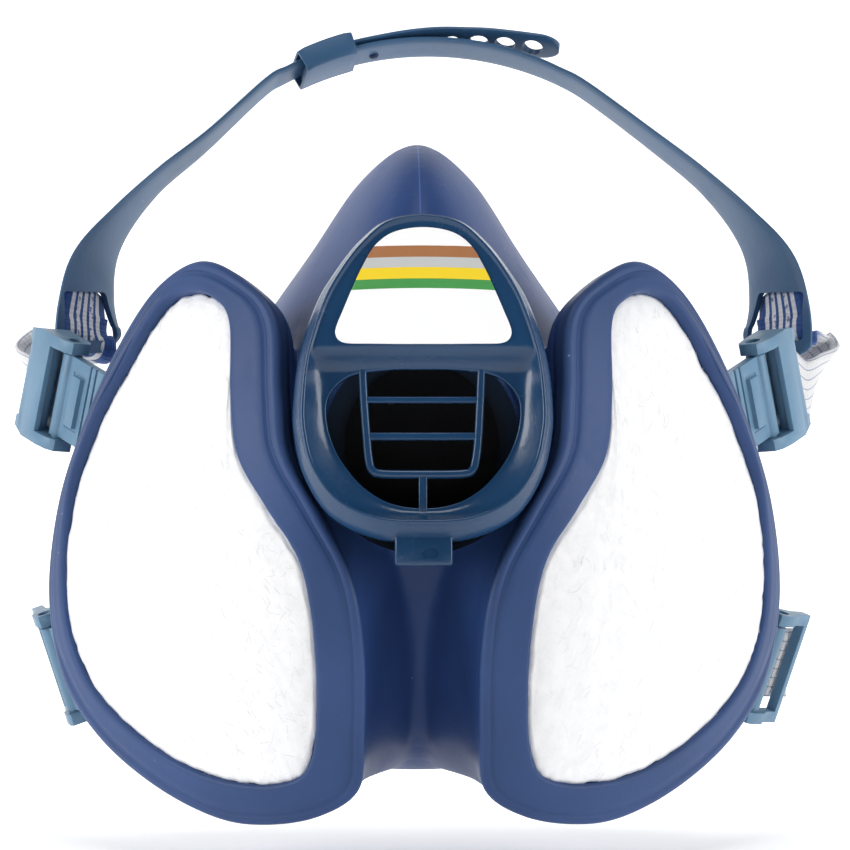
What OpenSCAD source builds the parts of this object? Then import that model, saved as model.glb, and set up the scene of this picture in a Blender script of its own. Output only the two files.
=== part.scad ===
// Reusable half-mask respirator: soft facepiece, two bonded filter lobes, exhalation valve,
// four strap buckles, a two-piece head band and a clasped neck strap.
// Millimetres, +X to the right of the front view, +Y towards the wearer, +Z up.
// The origin lies in the middle of the face opening.

/* [Facepiece] */
// Wall of the soft cup
cup_wall = 2.3; // [1.6:0.1:3.5]
// Width of the turned-in face seal
seal_width = 9; // [5:0.5:14]
// Radius of the exhalation port through the cup
exhale_bore_r = 15; // [12:0.5:17]
// Radius of each inhalation port
inhale_bore_r = 10; // [7:0.5:12]

/* [Filters] */
// Thickness of the particle pad
pad_thickness = 3; // [2:0.5:5]
// Thickness of the carbon bed
carbon_thickness = 8; // [5:0.5:9]
// Thickness of the support tray
tray_thickness = 1.9; // [1.2:0.1:3]
// Gap between stacked filter layers
layer_gap = 0.05; // [0.02:0.01:0.1]
// How far the rim stands in front of the pad
rim_rise = 1.4; // [0.5:0.1:3]

/* [Valves] */
// Thickness of a valve flap
flap_thickness = 0.6; // [0.4:0.1:1]
// Travel of the exhalation flap
exhale_travel = 1.3; // [0.8:0.1:2]
// Travel of an inhalation flap
inhale_travel = 1.2; // [0.8:0.1:1.6]
// Radius of a flap's stem
stem_r = 1.0; // [0.8:0.1:1.5]
// Radial clearance of a shaft in its hole
fit = 0.05; // [0.02:0.01:0.1]
// Backward lean of the valve cover
cover_lean = 9; // [0:1:15]

/* [Straps] */
// Height of an upper buckle along its hinge
upper_buckle_h = 22; // [18:0.5:26]
// Height of a lower buckle along its hinge
lower_buckle_h = 23; // [18:0.5:26]
// Radius of the hinge pins in the buckles
hinge_r = 1.5; // [1:0.1:2]
// Width of the elastic webbing
webbing_width = 15; // [10:0.5:18]
// Thickness of the elastic webbing
webbing_thickness = 1.2; // [0.8:0.1:2]

/* [Head band] */
// Width of the band at its top
band_width = 9; // [7:0.5:14]
// Width of the band at its window ends
band_end_width = 18; // [14:0.5:22]
// Thickness of the band
band_thickness = 1.4; // [1:0.1:2.5]
// Backward lean of the band's arch
band_lean = 33; // [20:1:45]
// Radius of the arch where the two arms overlap
band_arc_r = 51.5; // [40:0.5:65]
// Sideways set of the band's arch
band_shift = 4.3; // [-6:0.1:6]

/* [Hidden] */
$fn = 48;

// Colours
SOFT = [0.28, 0.34, 0.6];
RIM = [0.33, 0.4, 0.66];
WHITE = [0.95, 0.95, 0.96];
DARK = [0.15, 0.15, 0.16];
STEEL = [0.3, 0.42, 0.56];
LIGHT = [0.45, 0.58, 0.7];
FLAP = [0.75, 0.7, 0.55];

// Depths below the filter's outer surface
d_carbon = pad_thickness + layer_gap;
d_tray = d_carbon + carbon_thickness + layer_gap;
d_floor = d_tray + tray_thickness + layer_gap;
d_back = d_floor + 2.4;

// Rear outline of the cup: right half from the nose to the chin as x, z and edge depth
CUP_C = [0, -3];
CUP_HALF = [[0, 54.3, -32], [10.5, 47.7, -28], [21, 33, -16], [35, 13, -6], [46.5, -8, -1],
            [51.5, -28, 0], [45, -50, -5], [28, -63.5, -14], [0, -67.5, -20]];
// Outer outline of the right rim, and the pad's outline with matching points
RIM_OUT = [[40.8, 30.9], [32.3, 26.8], [26.6, 19.6], [25.8, 6], [24.6, -5.2], [18.8, -16.6],
           [13, -28.7], [10.8, -42], [10.7, -58], [13, -67.2], [20, -72.6], [29, -74.9],
           [38, -74.3], [50, -69.6], [61.5, -61.5], [69.2, -50], [71.8, -34], [69.4, -16.6],
           [64.4, -1], [57.4, 14.4], [49.5, 26]];
PAD_OUT = [[43.2, 25], [38.5, 23.6], [35.5, 19], [35.2, 5], [33.8, -6], [28.5, -15.5],
           [22.5, -25.5], [19.9, -40], [19.6, -56], [21.4, -64], [26, -66.7], [33, -67],
           [41, -65.4], [50, -61], [59.5, -53.5], [65.5, -44], [67.7, -31], [66.3, -12.6],
           [61.5, 1], [55, 12.5], [48.5, 22.3]];
PAD_C = [37, -21];
// Half outline of the valve cover's flange
COVER_HALF = [[0, 39.3], [6.8, 38], [12, 34], [16.5, 28.3], [19.8, 22.5], [22.8, 13], [23.9, 4.6],
              [23.8, -2], [21.9, -9.8], [17, -17], [8.8, -20.9], [0, -21.6]];
port_axis = unit(dome_n(PAD_C.x, PAD_C.y));
port_angle = atan2(port_axis.x, -port_axis.y);
seat_y = -70;
cover_pivot = [0, -80.6, -3];
arch_h = band_arc_r + 18.6;

// Where the buckles hinge on the right, each with the turn about Z, the tilt and the rise of the strap
UPPER = [68.6, -15, 6];
LOWER = [69.6, -5.5, -48];
UPPER_TURN = [60, -3.75, -16.1];
LOWER_TURN = [62, 20, 0];
// How far a lower buckle stands swung back on its hinge at rest
function lower_swing(s) = s > 0 ? -10 : 16;

// ---- Curves and lofts ----
function unit(v) = v / norm(v);
function spline(a, b, c, d, t) =
    0.5 * (2 * b + (c - a) * t + (2 * a - 5 * b + 4 * c - d) * t * t + (3 * b - a - 3 * c + d) * t * t * t);
function closed_curve(p, k) =
    let (n = len(p))
    [for (i = [0 : n - 1]) for (j = [0 : k - 1])
        spline(p[(i + n - 1) % n], p[i], p[(i + 1) % n], p[(i + 2) % n], j / k)];
function open_curve(p, k) =
    let (n = len(p))
    concat([for (i = [0 : n - 2]) for (j = [0 : k - 1])
        spline(p[max(i - 1, 0)], p[i], p[i + 1], p[min(i + 2, n - 1)], j / k)], [p[n - 1]]);
function mirrored(half) =
    let (n = len(half))
    concat(half, [for (i = [n - 2 : -1 : 1]) [-half[i][0], for (j = [1 : len(half[i]) - 1]) half[i][j]]]);
function mean(p) = [for (i = p) 1] * p / len(p);

// A closed solid from a list of rings; each ring has the same number of points
module loft(rings, loop = false) {
    m = len(rings);
    n = len(rings[0]);
    points = concat([for (r = rings) each r], loop ? [] : [mean(rings[0]), mean(rings[m - 1])]);
    sides = [for (i = [0 : loop ? m - 1 : m - 2]) for (j = [0 : n - 1])
        let (a = i * n + j, b = i * n + (j + 1) % n, c = ((i + 1) % m) * n + j, d = ((i + 1) % m) * n + (j + 1) % n)
        each [[a, b, d], [a, d, c]]];
    ends = loop ? [] : [for (j = [0 : n - 1]) each
        [[m * n, (j + 1) % n, j], [m * n + 1, (m - 1) * n + j, (m - 1) * n + (j + 1) % n]]];
    tris = concat(sides, ends);
    signs = [for (t = tris) points[t[0]] * cross(points[t[1]], points[t[2]])];
    inside_out = [for (s = signs) 1] * signs > 0;
    polyhedron(points, inside_out ? [for (t = tris) [t[2], t[1], t[0]]] : tris, convexity = 8);
}

module on_side(s) {
    mirror([s < 0 ? 1 : 0, 0, 0]) children();
}

// ---- Filter surface ----
function dome(x, z) = -80 + 56 * pow(max(abs(x) - 12, 0) / 56, 2) + 0.0045 * pow(z + 20, 2);
function dome_n(x, z) = [2 * max(abs(x) - 12, 0) / 56 * sign(x), -1, 0.009 * (z + 20)];
function at_depth(p, d) = [p.x, dome(p.x, p.y), p.y] - unit(dome_n(p.x, p.y)) * d;
function ring_at(outline, t, d) = [for (p = outline) at_depth(PAD_C + (p - PAD_C) * t, d)];
function between(a, b, t) = [for (i = [0 : len(a) - 1]) a[i] * (1 - t) + b[i] * t];
PAD_CURVE = closed_curve(PAD_OUT, 2);
RIM_CURVE = closed_curve(RIM_OUT, 2);

// A slab that follows the filter surface between two depths
module slab(outline, d0, d1, grow = 0) {
    steps = [0.2, 0.45, 0.7, 0.88, 1 + grow];
    loft(concat([for (t = steps) ring_at(outline, t, d0)],
                [for (i = [4 : -1 : 0]) ring_at(outline, steps[i], d1)]));
}

// ---- Cup ----
CUP_EDGE = closed_curve(mirrored(CUP_HALF), 3);
function cup_front(e) = -64 - 8 * pow(max(e.y / norm(e), 0), 3);
function cup_point(edge, u, inset) =
    let (e = [edge.x, edge.y] - CUP_C, f = cup_front(e) + inset, r = norm(e) - inset,
         start = exhale_bore_r - 2.6, reach = start + (r - start) * pow(sin(u), 1.1))
    [CUP_C.x + e.x / norm(e) * reach, f + (edge[2] - f) * (1 - cos(u)), CUP_C.y + e.y / norm(e) * reach];
function cup_ring(u, inset) = [for (edge = CUP_EDGE) cup_point(edge, u, inset)];
function lip_ring(inset, back) = [for (edge = CUP_EDGE)
    let (e = [edge.x, edge.y] - CUP_C, r = norm(e) - inset)
    [CUP_C.x + e.x / norm(e) * r, edge[2] + back, CUP_C.y + e.y / norm(e) * r]];

module cup_shell() {
    outer = [for (u = [0, 12, 24, 36, 48, 58, 67, 76, 84, 90]) cup_ring(u, 0)];
    lip = [lip_ring(0.4, 2.2), lip_ring(2, 3.4), lip_ring(seal_width * 0.6, 3), lip_ring(seal_width, 1.4),
           lip_ring(seal_width, 0.4), lip_ring(seal_width * 0.6, 1.5), lip_ring(cup_wall + 1.2, 0.8)];
    inner = [for (u = [86, 76, 67, 58, 48, 36, 24, 12, 0]) cup_ring(u, cup_wall)];
    loft(concat(outer, lip, inner), true);
}

// What is cleared inside the cup, just inside its wall and through the opening of the seal
module cup_hollow() {
    loft(concat([for (u = [0, 13, 26, 38, 50, 60, 69, 77]) cup_ring(u, cup_wall + 0.3)],
                [lip_ring(seal_width * 0.7, -2.5), lip_ring(seal_width + 2, -1), lip_ring(seal_width + 2, 30)]));
}

// Local frame on the right inhalation port: +Z points out through the filter
module at_port(depth) {
    translate(at_depth(PAD_C, depth))
        rotate([90, 0, port_angle])
            children();
}

// The moulded wall that holds one filter stack
module lobe_body() {
    loft([for (k = [[0, 1, 0], [3, 1, 0], [8, 0.8, 0.02], [d_back, 0.25, 0.07]])
            [for (i = [0 : len(PAD_CURVE) - 1])
                let (p = PAD_CURVE[i] * (1 - k[1]) + RIM_CURVE[i] * k[1])
                at_depth(p + (p - PAD_C) * 0.02, k[0] + 2.95 - (k[0] > 0 ? 2.95 : 0))]]);
}

module lobe_pocket() {
    slab(PAD_CURVE, -6, d_floor, 0.006);
}

module face_shell() {
    color(SOFT)
        resize([0, 0, 0])
            difference() {
                union() {
                    difference() {
                        union() {
                            cup_shell();
                            for (s = [-1, 1]) {
                                on_side(s)
                                    lobe_body();
                            }
                            translate([0, seat_y, -3])
                                rotate([-90, 1.7, 0])
                                    cylinder(r = 19, h = 13.3);
                        }
                        cup_hollow();
                    }
                    for (s = [-1, 1]) {
                        on_side(s)
                            at_port(d_floor + 6)
                                cylinder(r = inhale_bore_r + 2.4, h = 6);
                    }
                }
                for (s = [-1, 1]) {
                    on_side(s)
                        lobe_pocket();
                    on_side(s)
                        at_port(d_floor + 30)
                            cylinder(r = inhale_bore_r, h = 40);
                }
                translate([0, seat_y - 5, -3])
                    rotate([-90, 3.1, 0])
                        cylinder(r = exhale_bore_r, h = 40);
            }
}

// ---- Filters ----
module filter_rim(s) {
    profile = [[0.02, 2.9], [0.02, -rim_rise * 0.5], [0.18, -rim_rise], [0.55, -rim_rise * 0.9],
               [0.85, -0.2], [1, 1.2], [1, 2.9]];
    color(RIM)
        on_side(s)
            loft([for (k = profile) [for (i = [0 : len(PAD_CURVE) - 1])
                at_depth(PAD_CURVE[i] * (1 - k[0]) + RIM_CURVE[i] * k[0], k[1])]], true);
}

module filter_pad(s) {
    color(WHITE)
        on_side(s)
            slab(PAD_CURVE, 0, pad_thickness, -0.008);
}

module carbon_block(s) {
    color(DARK)
        on_side(s)
            slab(PAD_CURVE, d_carbon, d_carbon + carbon_thickness, -0.004);
}

module filter_tray(s) {
    steps = [0.45, 0.7, 0.88, 0.996];
    color(STEEL)
        on_side(s)
            loft(concat([for (t = steps) ring_at(PAD_CURVE, t, d_tray)],
                        [for (i = [3 : -1 : 0]) ring_at(PAD_CURVE, steps[i], d_tray + tray_thickness)]), true);
}

// ---- Valves, drawn with the seat's outer face on z = 0 and the flap's side towards +Z ----
module valve_seat(r_out, r_in, flange_r, depth) {
    difference() {
        union() {
            translate([0, 0, -depth])
                cylinder(r = r_out, h = depth);
            cylinder(r = flange_r, h = 1);
        }
        translate([0, 0, -depth - 1])
            cylinder(r = r_in, h = depth + 3);
    }
    difference() {
        union() {
            translate([0, 0, -0.8])
                cylinder(r = 2.6, h = 1.8);
            for (a = [0 : 60 : 120]) {
                rotate([0, 0, a])
                    translate([-r_in - 0.3, -0.7, -0.8])
                        cube([2 * r_in + 0.6, 1.4, 1.6]);
            }
        }
        translate([0, 0, -3])
            cylinder(r = stem_r + fit, h = 6);
    }
}

module valve_flap(r, travel) {
    translate([0, 0, 1.3])
        cylinder(r = r, h = flap_thickness);
    translate([0, 0, -1.5 - travel])
        cylinder(r = stem_r, h = 3 + travel);
    translate([0, 0, -2.3 - travel])
        cylinder(r1 = stem_r * 0.8, r2 = stem_r * 1.6, h = 1.1);
}

module inhale_seat(s) {
    color(STEEL)
        on_side(s)
            at_port(d_floor + 6.05)
                rotate([180, 0, 0])
                    valve_seat(inhale_bore_r - fit, 8, inhale_bore_r + 2, 4);
}

module inhale_flap(s) {
    color(FLAP)
        on_side(s)
            at_port(d_floor + 6.05)
                rotate([180, 0, 0])
                    valve_flap(9.2, inhale_travel);
}

module at_exhale() {
    translate([0, seat_y - 0.05, -3])
        rotate([90, 0, 0])
            children();
}

module exhale_seat() {
    color(STEEL)
        at_exhale()
            valve_seat(exhale_bore_r - fit, 12.6, 18.2, 6);
}

module exhale_flap() {
    color(FLAP)
        at_exhale()
            valve_flap(14.2, exhale_travel);
}

// ---- Valve cover, drawn in its own leaning frame: x right, y up, z out to the front ----
COVER_CURVE = open_curve(COVER_HALF, 2);
COVER_LOOP = mirrored(COVER_CURVE);
COVER_MID = [0, 8];

module at_cover() {
    translate(cover_pivot)
        rotate([90 - cover_lean, 0, 0])
            translate([0, 3, 0])
                children();
}

function cover_ring(t, h) = [for (p = COVER_LOOP) [p.x * t, COVER_MID.y + (p.y - COVER_MID.y) * t, h]];

module cover_opening(grow, h0, h1) {
    half = [[0, 10.4], [9, 10.2], [15.2, 8.6], [18, 4], [18, -1], [15, -8], [9, -14.5], [0, -16.4]];
    loop = mirrored(open_curve(half, 2));
    loft([for (h = [h0, h1]) [for (p = loop) [p.x * grow, -3 + (p.y + 3) * grow, h]]]);
}

module exhale_cover() {
    color(STEEL)
        resize([0, 0, 0])
            union() {
                at_cover()
                    difference() {
                        loft([cover_ring(1, 0), cover_ring(1.01, 1.2), cover_ring(1, 2.2), cover_ring(0.97, 2.7),
                              cover_ring(0.9, 3), cover_ring(0.84, 5.6), cover_ring(0.8, 6)]);
                        loft([cover_ring(0.86, -1), cover_ring(0.85, 2), cover_ring(0.79, 4.6)]);
                        cover_opening(0.86, 0, 9);
                    }
                difference() {
                    translate([0, -81, -3])
                        rotate([-90, 0, 0])
                            cylinder(r = 20.9, h = 12);
                    translate([-30, -72.8, -8])
                        cube([60, 20, 40]);
                    translate([0, -90, -3])
                        rotate([-90, 0, 0])
                            cylinder(r = 19.4, h = 30);
                    at_cover()
                        translate([-40, -60, 0.4])
                            cube([80, 120, 20]);
                }
                at_cover()
                    grille();
                at_cover()
                    translate([-5.5, -26.3, 0.4])
                        cube([11, 7.5, 2]);
            }
}

// Ladder grille across the opening
module grille() {
    for (x = [-11, 9.4]) {
        translate([x, -11.5, 4])
            cube([1.6, 21.5, 1.6]);
    }
    for (y = [3.6, -3.2, -10]) {
        translate([-11, y, 4])
            cube([22, 1.5, 1.6]);
    }
    translate([-0.8, -16, 4])
        cube([1.6, 7, 1.6]);
}

module label_plate() {
    half = [[0, 36.2], [5.5, 35.2], [9.5, 32], [12.6, 27], [16.6, 17], [15.6, 14.8], [0, 14.4]];
    color(WHITE)
        at_cover()
            translate([0, 0, 6.03])
                linear_extrude(0.3)
                    polygon([for (p = mirrored(half)) [p.x * 0.93, 25 + (p.y - 25) * 0.86]]);
}

// ---- Strap lugs and buckles, drawn with the hinge along z at the origin and the strap leaving to +X ----
module at_hinge(place, turn, swing = 0) {
    translate(place)
        rotate([turn[1], turn[2], turn[0]])
            rotate([0, 0, swing])
                children();
}

module lug(height, reach, plate) {
    half = height / 2 - 2.8;
    translate([-reach, -plate / 2, -half])
        cube([reach, plate, 2 * half]);
    cylinder(r = hinge_r, h = height - 1.2, center = true);
}

module strap_lug_upper(s) {
    color(LIGHT)
        on_side(s)
            at_hinge(UPPER, UPPER_TURN) {
                difference() {
                    lug(upper_buckle_h, 17, 2);
                    for (x = [-12.5, -10.3]) {
                        translate([x, -1.6, -10])
                            cube([0.7, 1, 20]);
                    }
                }
                translate([-7.6, -1.7, -5])
                    cube([3.6, 0.8, 10]);
            }
}

module strap_lug_lower(s) {
    color(LIGHT)
        on_side(s)
            at_hinge(LOWER, LOWER_TURN)
                lug(lower_buckle_h, 13, 2);
}

module buckle_upper(s) {
    h = upper_buckle_h;
    color(LIGHT)
        on_side(s)
            at_hinge(UPPER, UPPER_TURN) {
                difference() {
                    translate([-2.6, -3.6, -h / 2])
                        cube([14.6, 6.4, h]);
                    translate([-5, -2.5, -h / 2 + 2.3])
                        cube([30, 4.4, h - 4.6]);
                    translate([-5, -2.5, -h / 2 + 2.3])
                        cube([7, 12, h - 4.6]);
                    translate([-5, -6, -h / 2 + 2.3])
                        cube([8.6, 6, h - 4.6]);
                    cylinder(r = hinge_r + fit, h = h + 4, center = true);
                }
                translate([9.6, -1.2, 0])
                    cylinder(r = 1.1, h = h - 2, center = true);
                for (z = [-h / 2 + 0.4, h / 2 - 3.4]) {
                    translate([11.5, -3.4, z])
                        cube([1.8, 2.4, 3]);
                }
            }
}

module buckle_lower(s) {
    h = lower_buckle_h;
    color(LIGHT)
        on_side(s)
            at_hinge(LOWER, LOWER_TURN, lower_swing(s))
                difference() {
                    linear_extrude(height = h, center = true)
                        polygon([[-2.4, -2.4], [2.4, -2.4], [5, -1.1], [10, -1.1],
                                 [10, 1.1], [5, 1.1], [2.4, 2.4], [-2.4, 2.4]]);
                    translate([-5, -6, -h / 2 + 2.3])
                        cube([13.2, 12, h - 4.6]);
                    cylinder(r = hinge_r + fit, h = h + 4, center = true);
                }
}

// ---- Ribbons: a flat section swept along centres, each with its width direction and width ----
function tangent(c, i) = unit(c[min(i + 1, len(c) - 1)] - c[max(i - 1, 0)]);

module ribbon(c, w, widths, thick) {
    loft([for (i = [0 : len(c) - 1])
        let (t = tangent(c, i), a = unit(w[i] - t * (t * w[i])), n = cross(t, a), hw = widths[i] / 2, ht = thick / 2)
        [c[i] - a * hw - n * ht, c[i] - n * ht, c[i] + a * hw - n * ht,
         c[i] + a * hw + n * ht, c[i] + n * ht, c[i] - a * hw + n * ht]]);
}

// ---- Head band ----
// The arch lies in a plane that leans back; h runs up that plane and a turns about its arc
ARCH_X = [band_shift, 0, 0];
function arch_point(side, dx, h) =
    [band_shift + side * dx, 8.5 + max(h - 4, 0) * sin(band_lean), h < 4 ? 20 + h * 0.9 : 20 + h * cos(band_lean)];
function arch_out(side, a) = [side * sin(a), cos(a) * sin(band_lean), cos(a) * cos(band_lean)];
back_axis = [0, cos(band_lean), -sin(band_lean)];
arch_mid = [band_shift, 8.5 + (18.6 - 4) * sin(band_lean), 20 + 18.6 * cos(band_lean)];

// Points of the arc at a given extra radius
function arc_at(side, a, extra = 0) = arch_mid + arch_out(side, a) * (band_arc_r + extra);
function cone_dir(side, a, lean) = back_axis * cos(lean) + arch_out(side, a) * sin(lean);

ARM_TAIL = [[46, 45.8, 45, 12, 10.6], [56, 35.5, 50, 8, 11.4], [64, 24, 63, -5, 13], [68.4, 12.5, 78, -26, 16.6],
            [69.4, 2, 89, -38, 18], [69.3, -6.2, 90, -38, 17.6]];
function arm_centres(side, angles, extra) =
    concat([for (a = angles) arc_at(side, a, extra)], [for (k = ARM_TAIL) arch_point(side, k[0], k[1])]);
function arm_dirs(side, angles) =
    concat([for (a = angles) cone_dir(side, a, a < 36 ? 16 : 16 - (a - 36) * 0.5)],
           [for (k = ARM_TAIL) cone_dir(side, k[2], k[3])]);
function arm_widths(angles) =
    concat([for (a = angles) a < 36 ? band_width : band_width + (a - 36) * 0.1],
           [for (k = ARM_TAIL) k[4] / 18 * band_end_width]);

module arm(side, angles) {
    c = open_curve(arm_centres(side, angles, 0), 2);
    w = open_curve(arm_dirs(side, angles), 2);
    widths = [for (k = open_curve([for (v = arm_widths(angles)) [v, 0]], 2)) k.x];
    ribbon(c, w, widths, band_thickness);
}

// The left arm lies over the right one and rises into its sized tail
TAIL_LIFT = [[-28, 6.4], [-23, 5], [-18, 4], [-13, 3.3], [-8, 2.7], [0, 2.2], [10, 1.9], [18, 1.75]];
TAIL_WIDE = [[-28, 0.36], [-27.8, 0.4], [-26.6, 0.74], [-24, 0.91], [0, 0.95], [8, 1]];
TAIL_LEAN = [[-10, 4], [10, 16]];
TAIL_HOLES = [[-5.2, 1.6, 1.9], [-11.1, 2.05, 2.3], [-16.9, 2.15, 2.5], [-22.8, 2.1, 2.6]];
function tail_at(a) = arc_at(-1, a, lookup(a, TAIL_LIFT));
function tail_dir(a) = cone_dir(-1, a, a < 36 ? lookup(a, TAIL_LEAN) : 14);

module left_arm_ribbon() {
    angles = [-28, -26.6, -23, -18, -13, -8, -2, 4, 10, 18, 26, 34, 40];
    c = open_curve(concat([for (a = angles) tail_at(a)], [for (k = ARM_TAIL) arch_point(-1, k[0], k[1])]), 2);
    w = open_curve(concat([for (a = angles) tail_dir(a)], [for (k = ARM_TAIL) cone_dir(-1, k[2], k[3])]), 2);
    wide = concat([for (a = angles) band_width * lookup(a, TAIL_WIDE)],
                  [for (k = ARM_TAIL) k[4] / 18 * band_end_width]);
    ribbon(c, w, [for (k = open_curve([for (v = wide) [v, 0]], 2)) k.x], band_thickness);
}

// Window for the webbing in the wide end of an arm
module arm_window(side) {
    translate(arch_point(side, 69.4, 2))
        rotate([0, 0, side * 38 + 90])
            translate([-band_end_width / 2 + 1.5, -6, -4.8])
                cube([band_end_width - 3.4, 12, 9.8]);
}

module head_band_right() {
    color(STEEL)
        resize([0, 0, 0])
            difference() {
                arm(1, [-30, -24, -16, -8, 0, 8, 16, 24, 32, 40]);
                arm_window(1);
            }
}

module tail_hole(hole) {
    translate(tail_at(hole[0]))
        multmatrix(frame_of(hole[0], lookup(hole[0], TAIL_LEAN)))
            scale([hole[1], hole[2], 1])
                cylinder(r = 1, h = 8, center = true, $fn = 24);
}

// Frame on the left arm: x along the arc, y across the band, z out of the band
function frame_of(a, lean) =
    let (y = cone_dir(-1, a, lean), x = unit(cross(y, arch_out(-1, a))), z = cross(x, y))
    [[x.x, y.x, z.x, 0], [x.y, y.y, z.y, 0], [x.z, y.z, z.z, 0], [0, 0, 0, 1]];

module head_band_left() {
    color(STEEL)
        resize([0, 0, 0])
            difference() {
                left_arm_ribbon();
                arm_window(-1);
                for (hole = TAIL_HOLES) {
                    tail_hole(hole);
                }
            }
}

// Box that holds the two arms together
module band_keeper() {
    angles = [-31, -26.6, -22.2, -17.8];
    function shell_ring(a, grow_w, r0, r1) =
        let (w = cone_dir(1, a, 16), o = unit(arch_out(1, a) - w * (w * arch_out(1, a))), m = arc_at(1, a, 0), hw = band_width / 2 + grow_w)
        [m - w * hw + o * r0, m + w * hw + o * r0, m + w * hw + o * r1, m - w * hw + o * r1];
    top = 1.5 * band_thickness + 0.35;
    color(STEEL)
        resize([0, 0, 0])
            difference() {
                loft([for (a = angles) shell_ring(a, 1.4, -band_thickness / 2 - 0.7, top + 1.15)]);
                loft([for (a = [-34, -26.6, -22.2, -15]) shell_ring(a, 0.6, -band_thickness / 2 - 0.02, top + 0.5)]);
            }
}

module size_stud() {
    a = -13;
    color(DARK)
        translate(arc_at(1, a, -band_thickness / 2 - 0.8))
            multmatrix(frame_of(-a, 16))
                translate([0, 0.8, 0])
                    cylinder(r = 0.95, h = 0.8);
}

// ---- Webbing ----
function turned(v, a) = [v.x * cos(a) - v.y * sin(a), v.x * sin(a) + v.y * cos(a), v.z];
function tilted(v, a) = [v.x, v.y * cos(a) - v.z * sin(a), v.y * sin(a) + v.z * cos(a)];
function raised(v, a) = [v.x * cos(a) + v.z * sin(a), v.y, v.z * cos(a) - v.x * sin(a)];
function in_hinge(turn, p) = turned(raised(tilted(p, turn[1]), turn[2]), turn[0]);

// The webbing leaves the buckle, loops behind it and lies on the outer face of the arm's wide end
module webbing_upper(s) {
    lie = (band_thickness + webbing_thickness) / 2 + 0.4;
    inside = UPPER + in_hinge(UPPER_TURN, [8.6, 0.95, 0]);
    mouth = UPPER + in_hinge(UPPER_TURN, [13.2, 0.95, 0]);
    up = in_hinge(UPPER_TURN, [0, 0, 1]);
    loop_points = [[76.3, 5.5, 6.2, 0.5], [78.8, 13, 8, 0.6], [79.2, 20, 11.5, 0.8], [76.4, 22.6, 14.8, 1], [73.6, 18.2, 15.6, 1]];
    lie_dirs = [[90, -38], [89, -38], [86, -34], [80, -28]];
    seats = [for (k = [[69.4, -3.4, 90, -38], [69.4, 2, 89, -38], [69.2, 5.5, 86, -34], [68.8, 10.5, 80, -28]])
        arch_point(s, k[0], k[1]) + (arch_out(s, k[2]) * cos(k[3]) - back_axis * sin(k[3])) * lie];
    first = concat([inside, mouth], [for (k = loop_points) [k[0] + s * band_shift * k[3], k[1], k[2]]]);
    dirs = [up, up, [0.05, 0, 1], [0.25, -0.1, 0.95], [0.6, -0.3, 0.7], [0.72, -0.5, 0.4], [0.66, -0.66, 0.4]];
    c = open_curve(concat([for (p = first) [s * p.x, p.y, p.z]], seats), 3);
    w = open_curve(concat([for (p = dirs) [s * p.x, p.y, p.z]], [for (k = lie_dirs) -cone_dir(s, k[0], k[1])]), 3);
    color(WHITE)
        ribbon(c, w, [for (p = c) webbing_width - 1], webbing_thickness);
}

NECK_END = [0, 62, -54];
module neck_webbing(s) {
    up = in_hinge(LOWER_TURN, [0, 0, 1]);
    first = [for (p = [[7.2, 2.1], [8.8, 2.15], [10.6, 2.4], [12.6, 2.8]])
        LOWER + in_hinge(LOWER_TURN, turned([p.x, p.y, 0], lower_swing(s)))];
    c = open_curve(concat(first, [[70.5, 18, -48.5], [62.5, 35, -51], [46, 51, -53], [28, 60.8, -54],
                    [14.5, 62, -54], [s > 0 ? 8.4 : 7.6, 62, -54]]), 2);
    flat = [0, 0, 1];
    w = open_curve([up, up, up, up, [0.2, 0, 0.98], flat, flat, flat, flat, flat], 2);
    color(WHITE)
        on_side(s)
            ribbon(c, w, [for (p = c) webbing_width - 1], webbing_thickness);
}

// Clasp at the back of the neck: a framed eye on the right, a flat hook on the left
module neck_eye() {
    color(STEEL)
        translate(NECK_END)
            difference() {
                translate([-5, -2, -10])
                    cube([18, 4, 20]);
                translate([-6, -1, -6])
                    cube([9, 2, 12]);
                translate([-2.6, -4, -6])
                    cube([4, 4, 12]);
                translate([7, -0.8, -7.8])
                    cube([10, 1.6, 15.6]);
            }
}

module neck_hook() {
    color(STEEL)
        translate(NECK_END)
            difference() {
                union() {
                    translate([-13, -2, -10])
                        cube([7.6, 4, 20]);
                    translate([-6, -0.7, -5.6])
                        cube([8.4, 1.4, 11.2]);
                    translate([-2.2, -0.9, -5.6])
                        cube([2.2, 0.6, 11.2]);
                }
                translate([-17, -0.8, -7.8])
                    cube([10, 1.6, 15.6]);
            }
}

face_shell();
filter_rim(-1);  // filter_rim_left
filter_rim(1);  // filter_rim_right
filter_pad(-1);  // filter_pad_left
filter_pad(1);  // filter_pad_right
carbon_block(-1);  // carbon_block_left
carbon_block(1);  // carbon_block_right
filter_tray(-1);  // filter_tray_left
filter_tray(1);  // filter_tray_right
inhale_seat(-1);  // inhale_seat_left
inhale_seat(1);  // inhale_seat_right
inhale_flap(-1);  // inhale_flap_left
inhale_flap(1);  // inhale_flap_right
exhale_seat();
exhale_flap();
exhale_cover();
label_plate();
strap_lug_upper(-1);  // strap_lug_upper_left
strap_lug_upper(1);  // strap_lug_upper_right
strap_lug_lower(-1);  // strap_lug_lower_left
strap_lug_lower(1);  // strap_lug_lower_right
buckle_upper(-1);  // buckle_upper_left
buckle_upper(1);  // buckle_upper_right
buckle_lower(-1);  // buckle_lower_left
buckle_lower(1);  // buckle_lower_right
webbing_upper(-1);  // webbing_upper_left
webbing_upper(1);  // webbing_upper_right
head_band_left();
head_band_right();
band_keeper();
size_stud();
neck_webbing(-1);  // neck_webbing_left
neck_webbing(1);  // neck_webbing_right
neck_hook();
neck_eye();
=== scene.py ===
"""Half-mask respirator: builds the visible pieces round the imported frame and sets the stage."""

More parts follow.
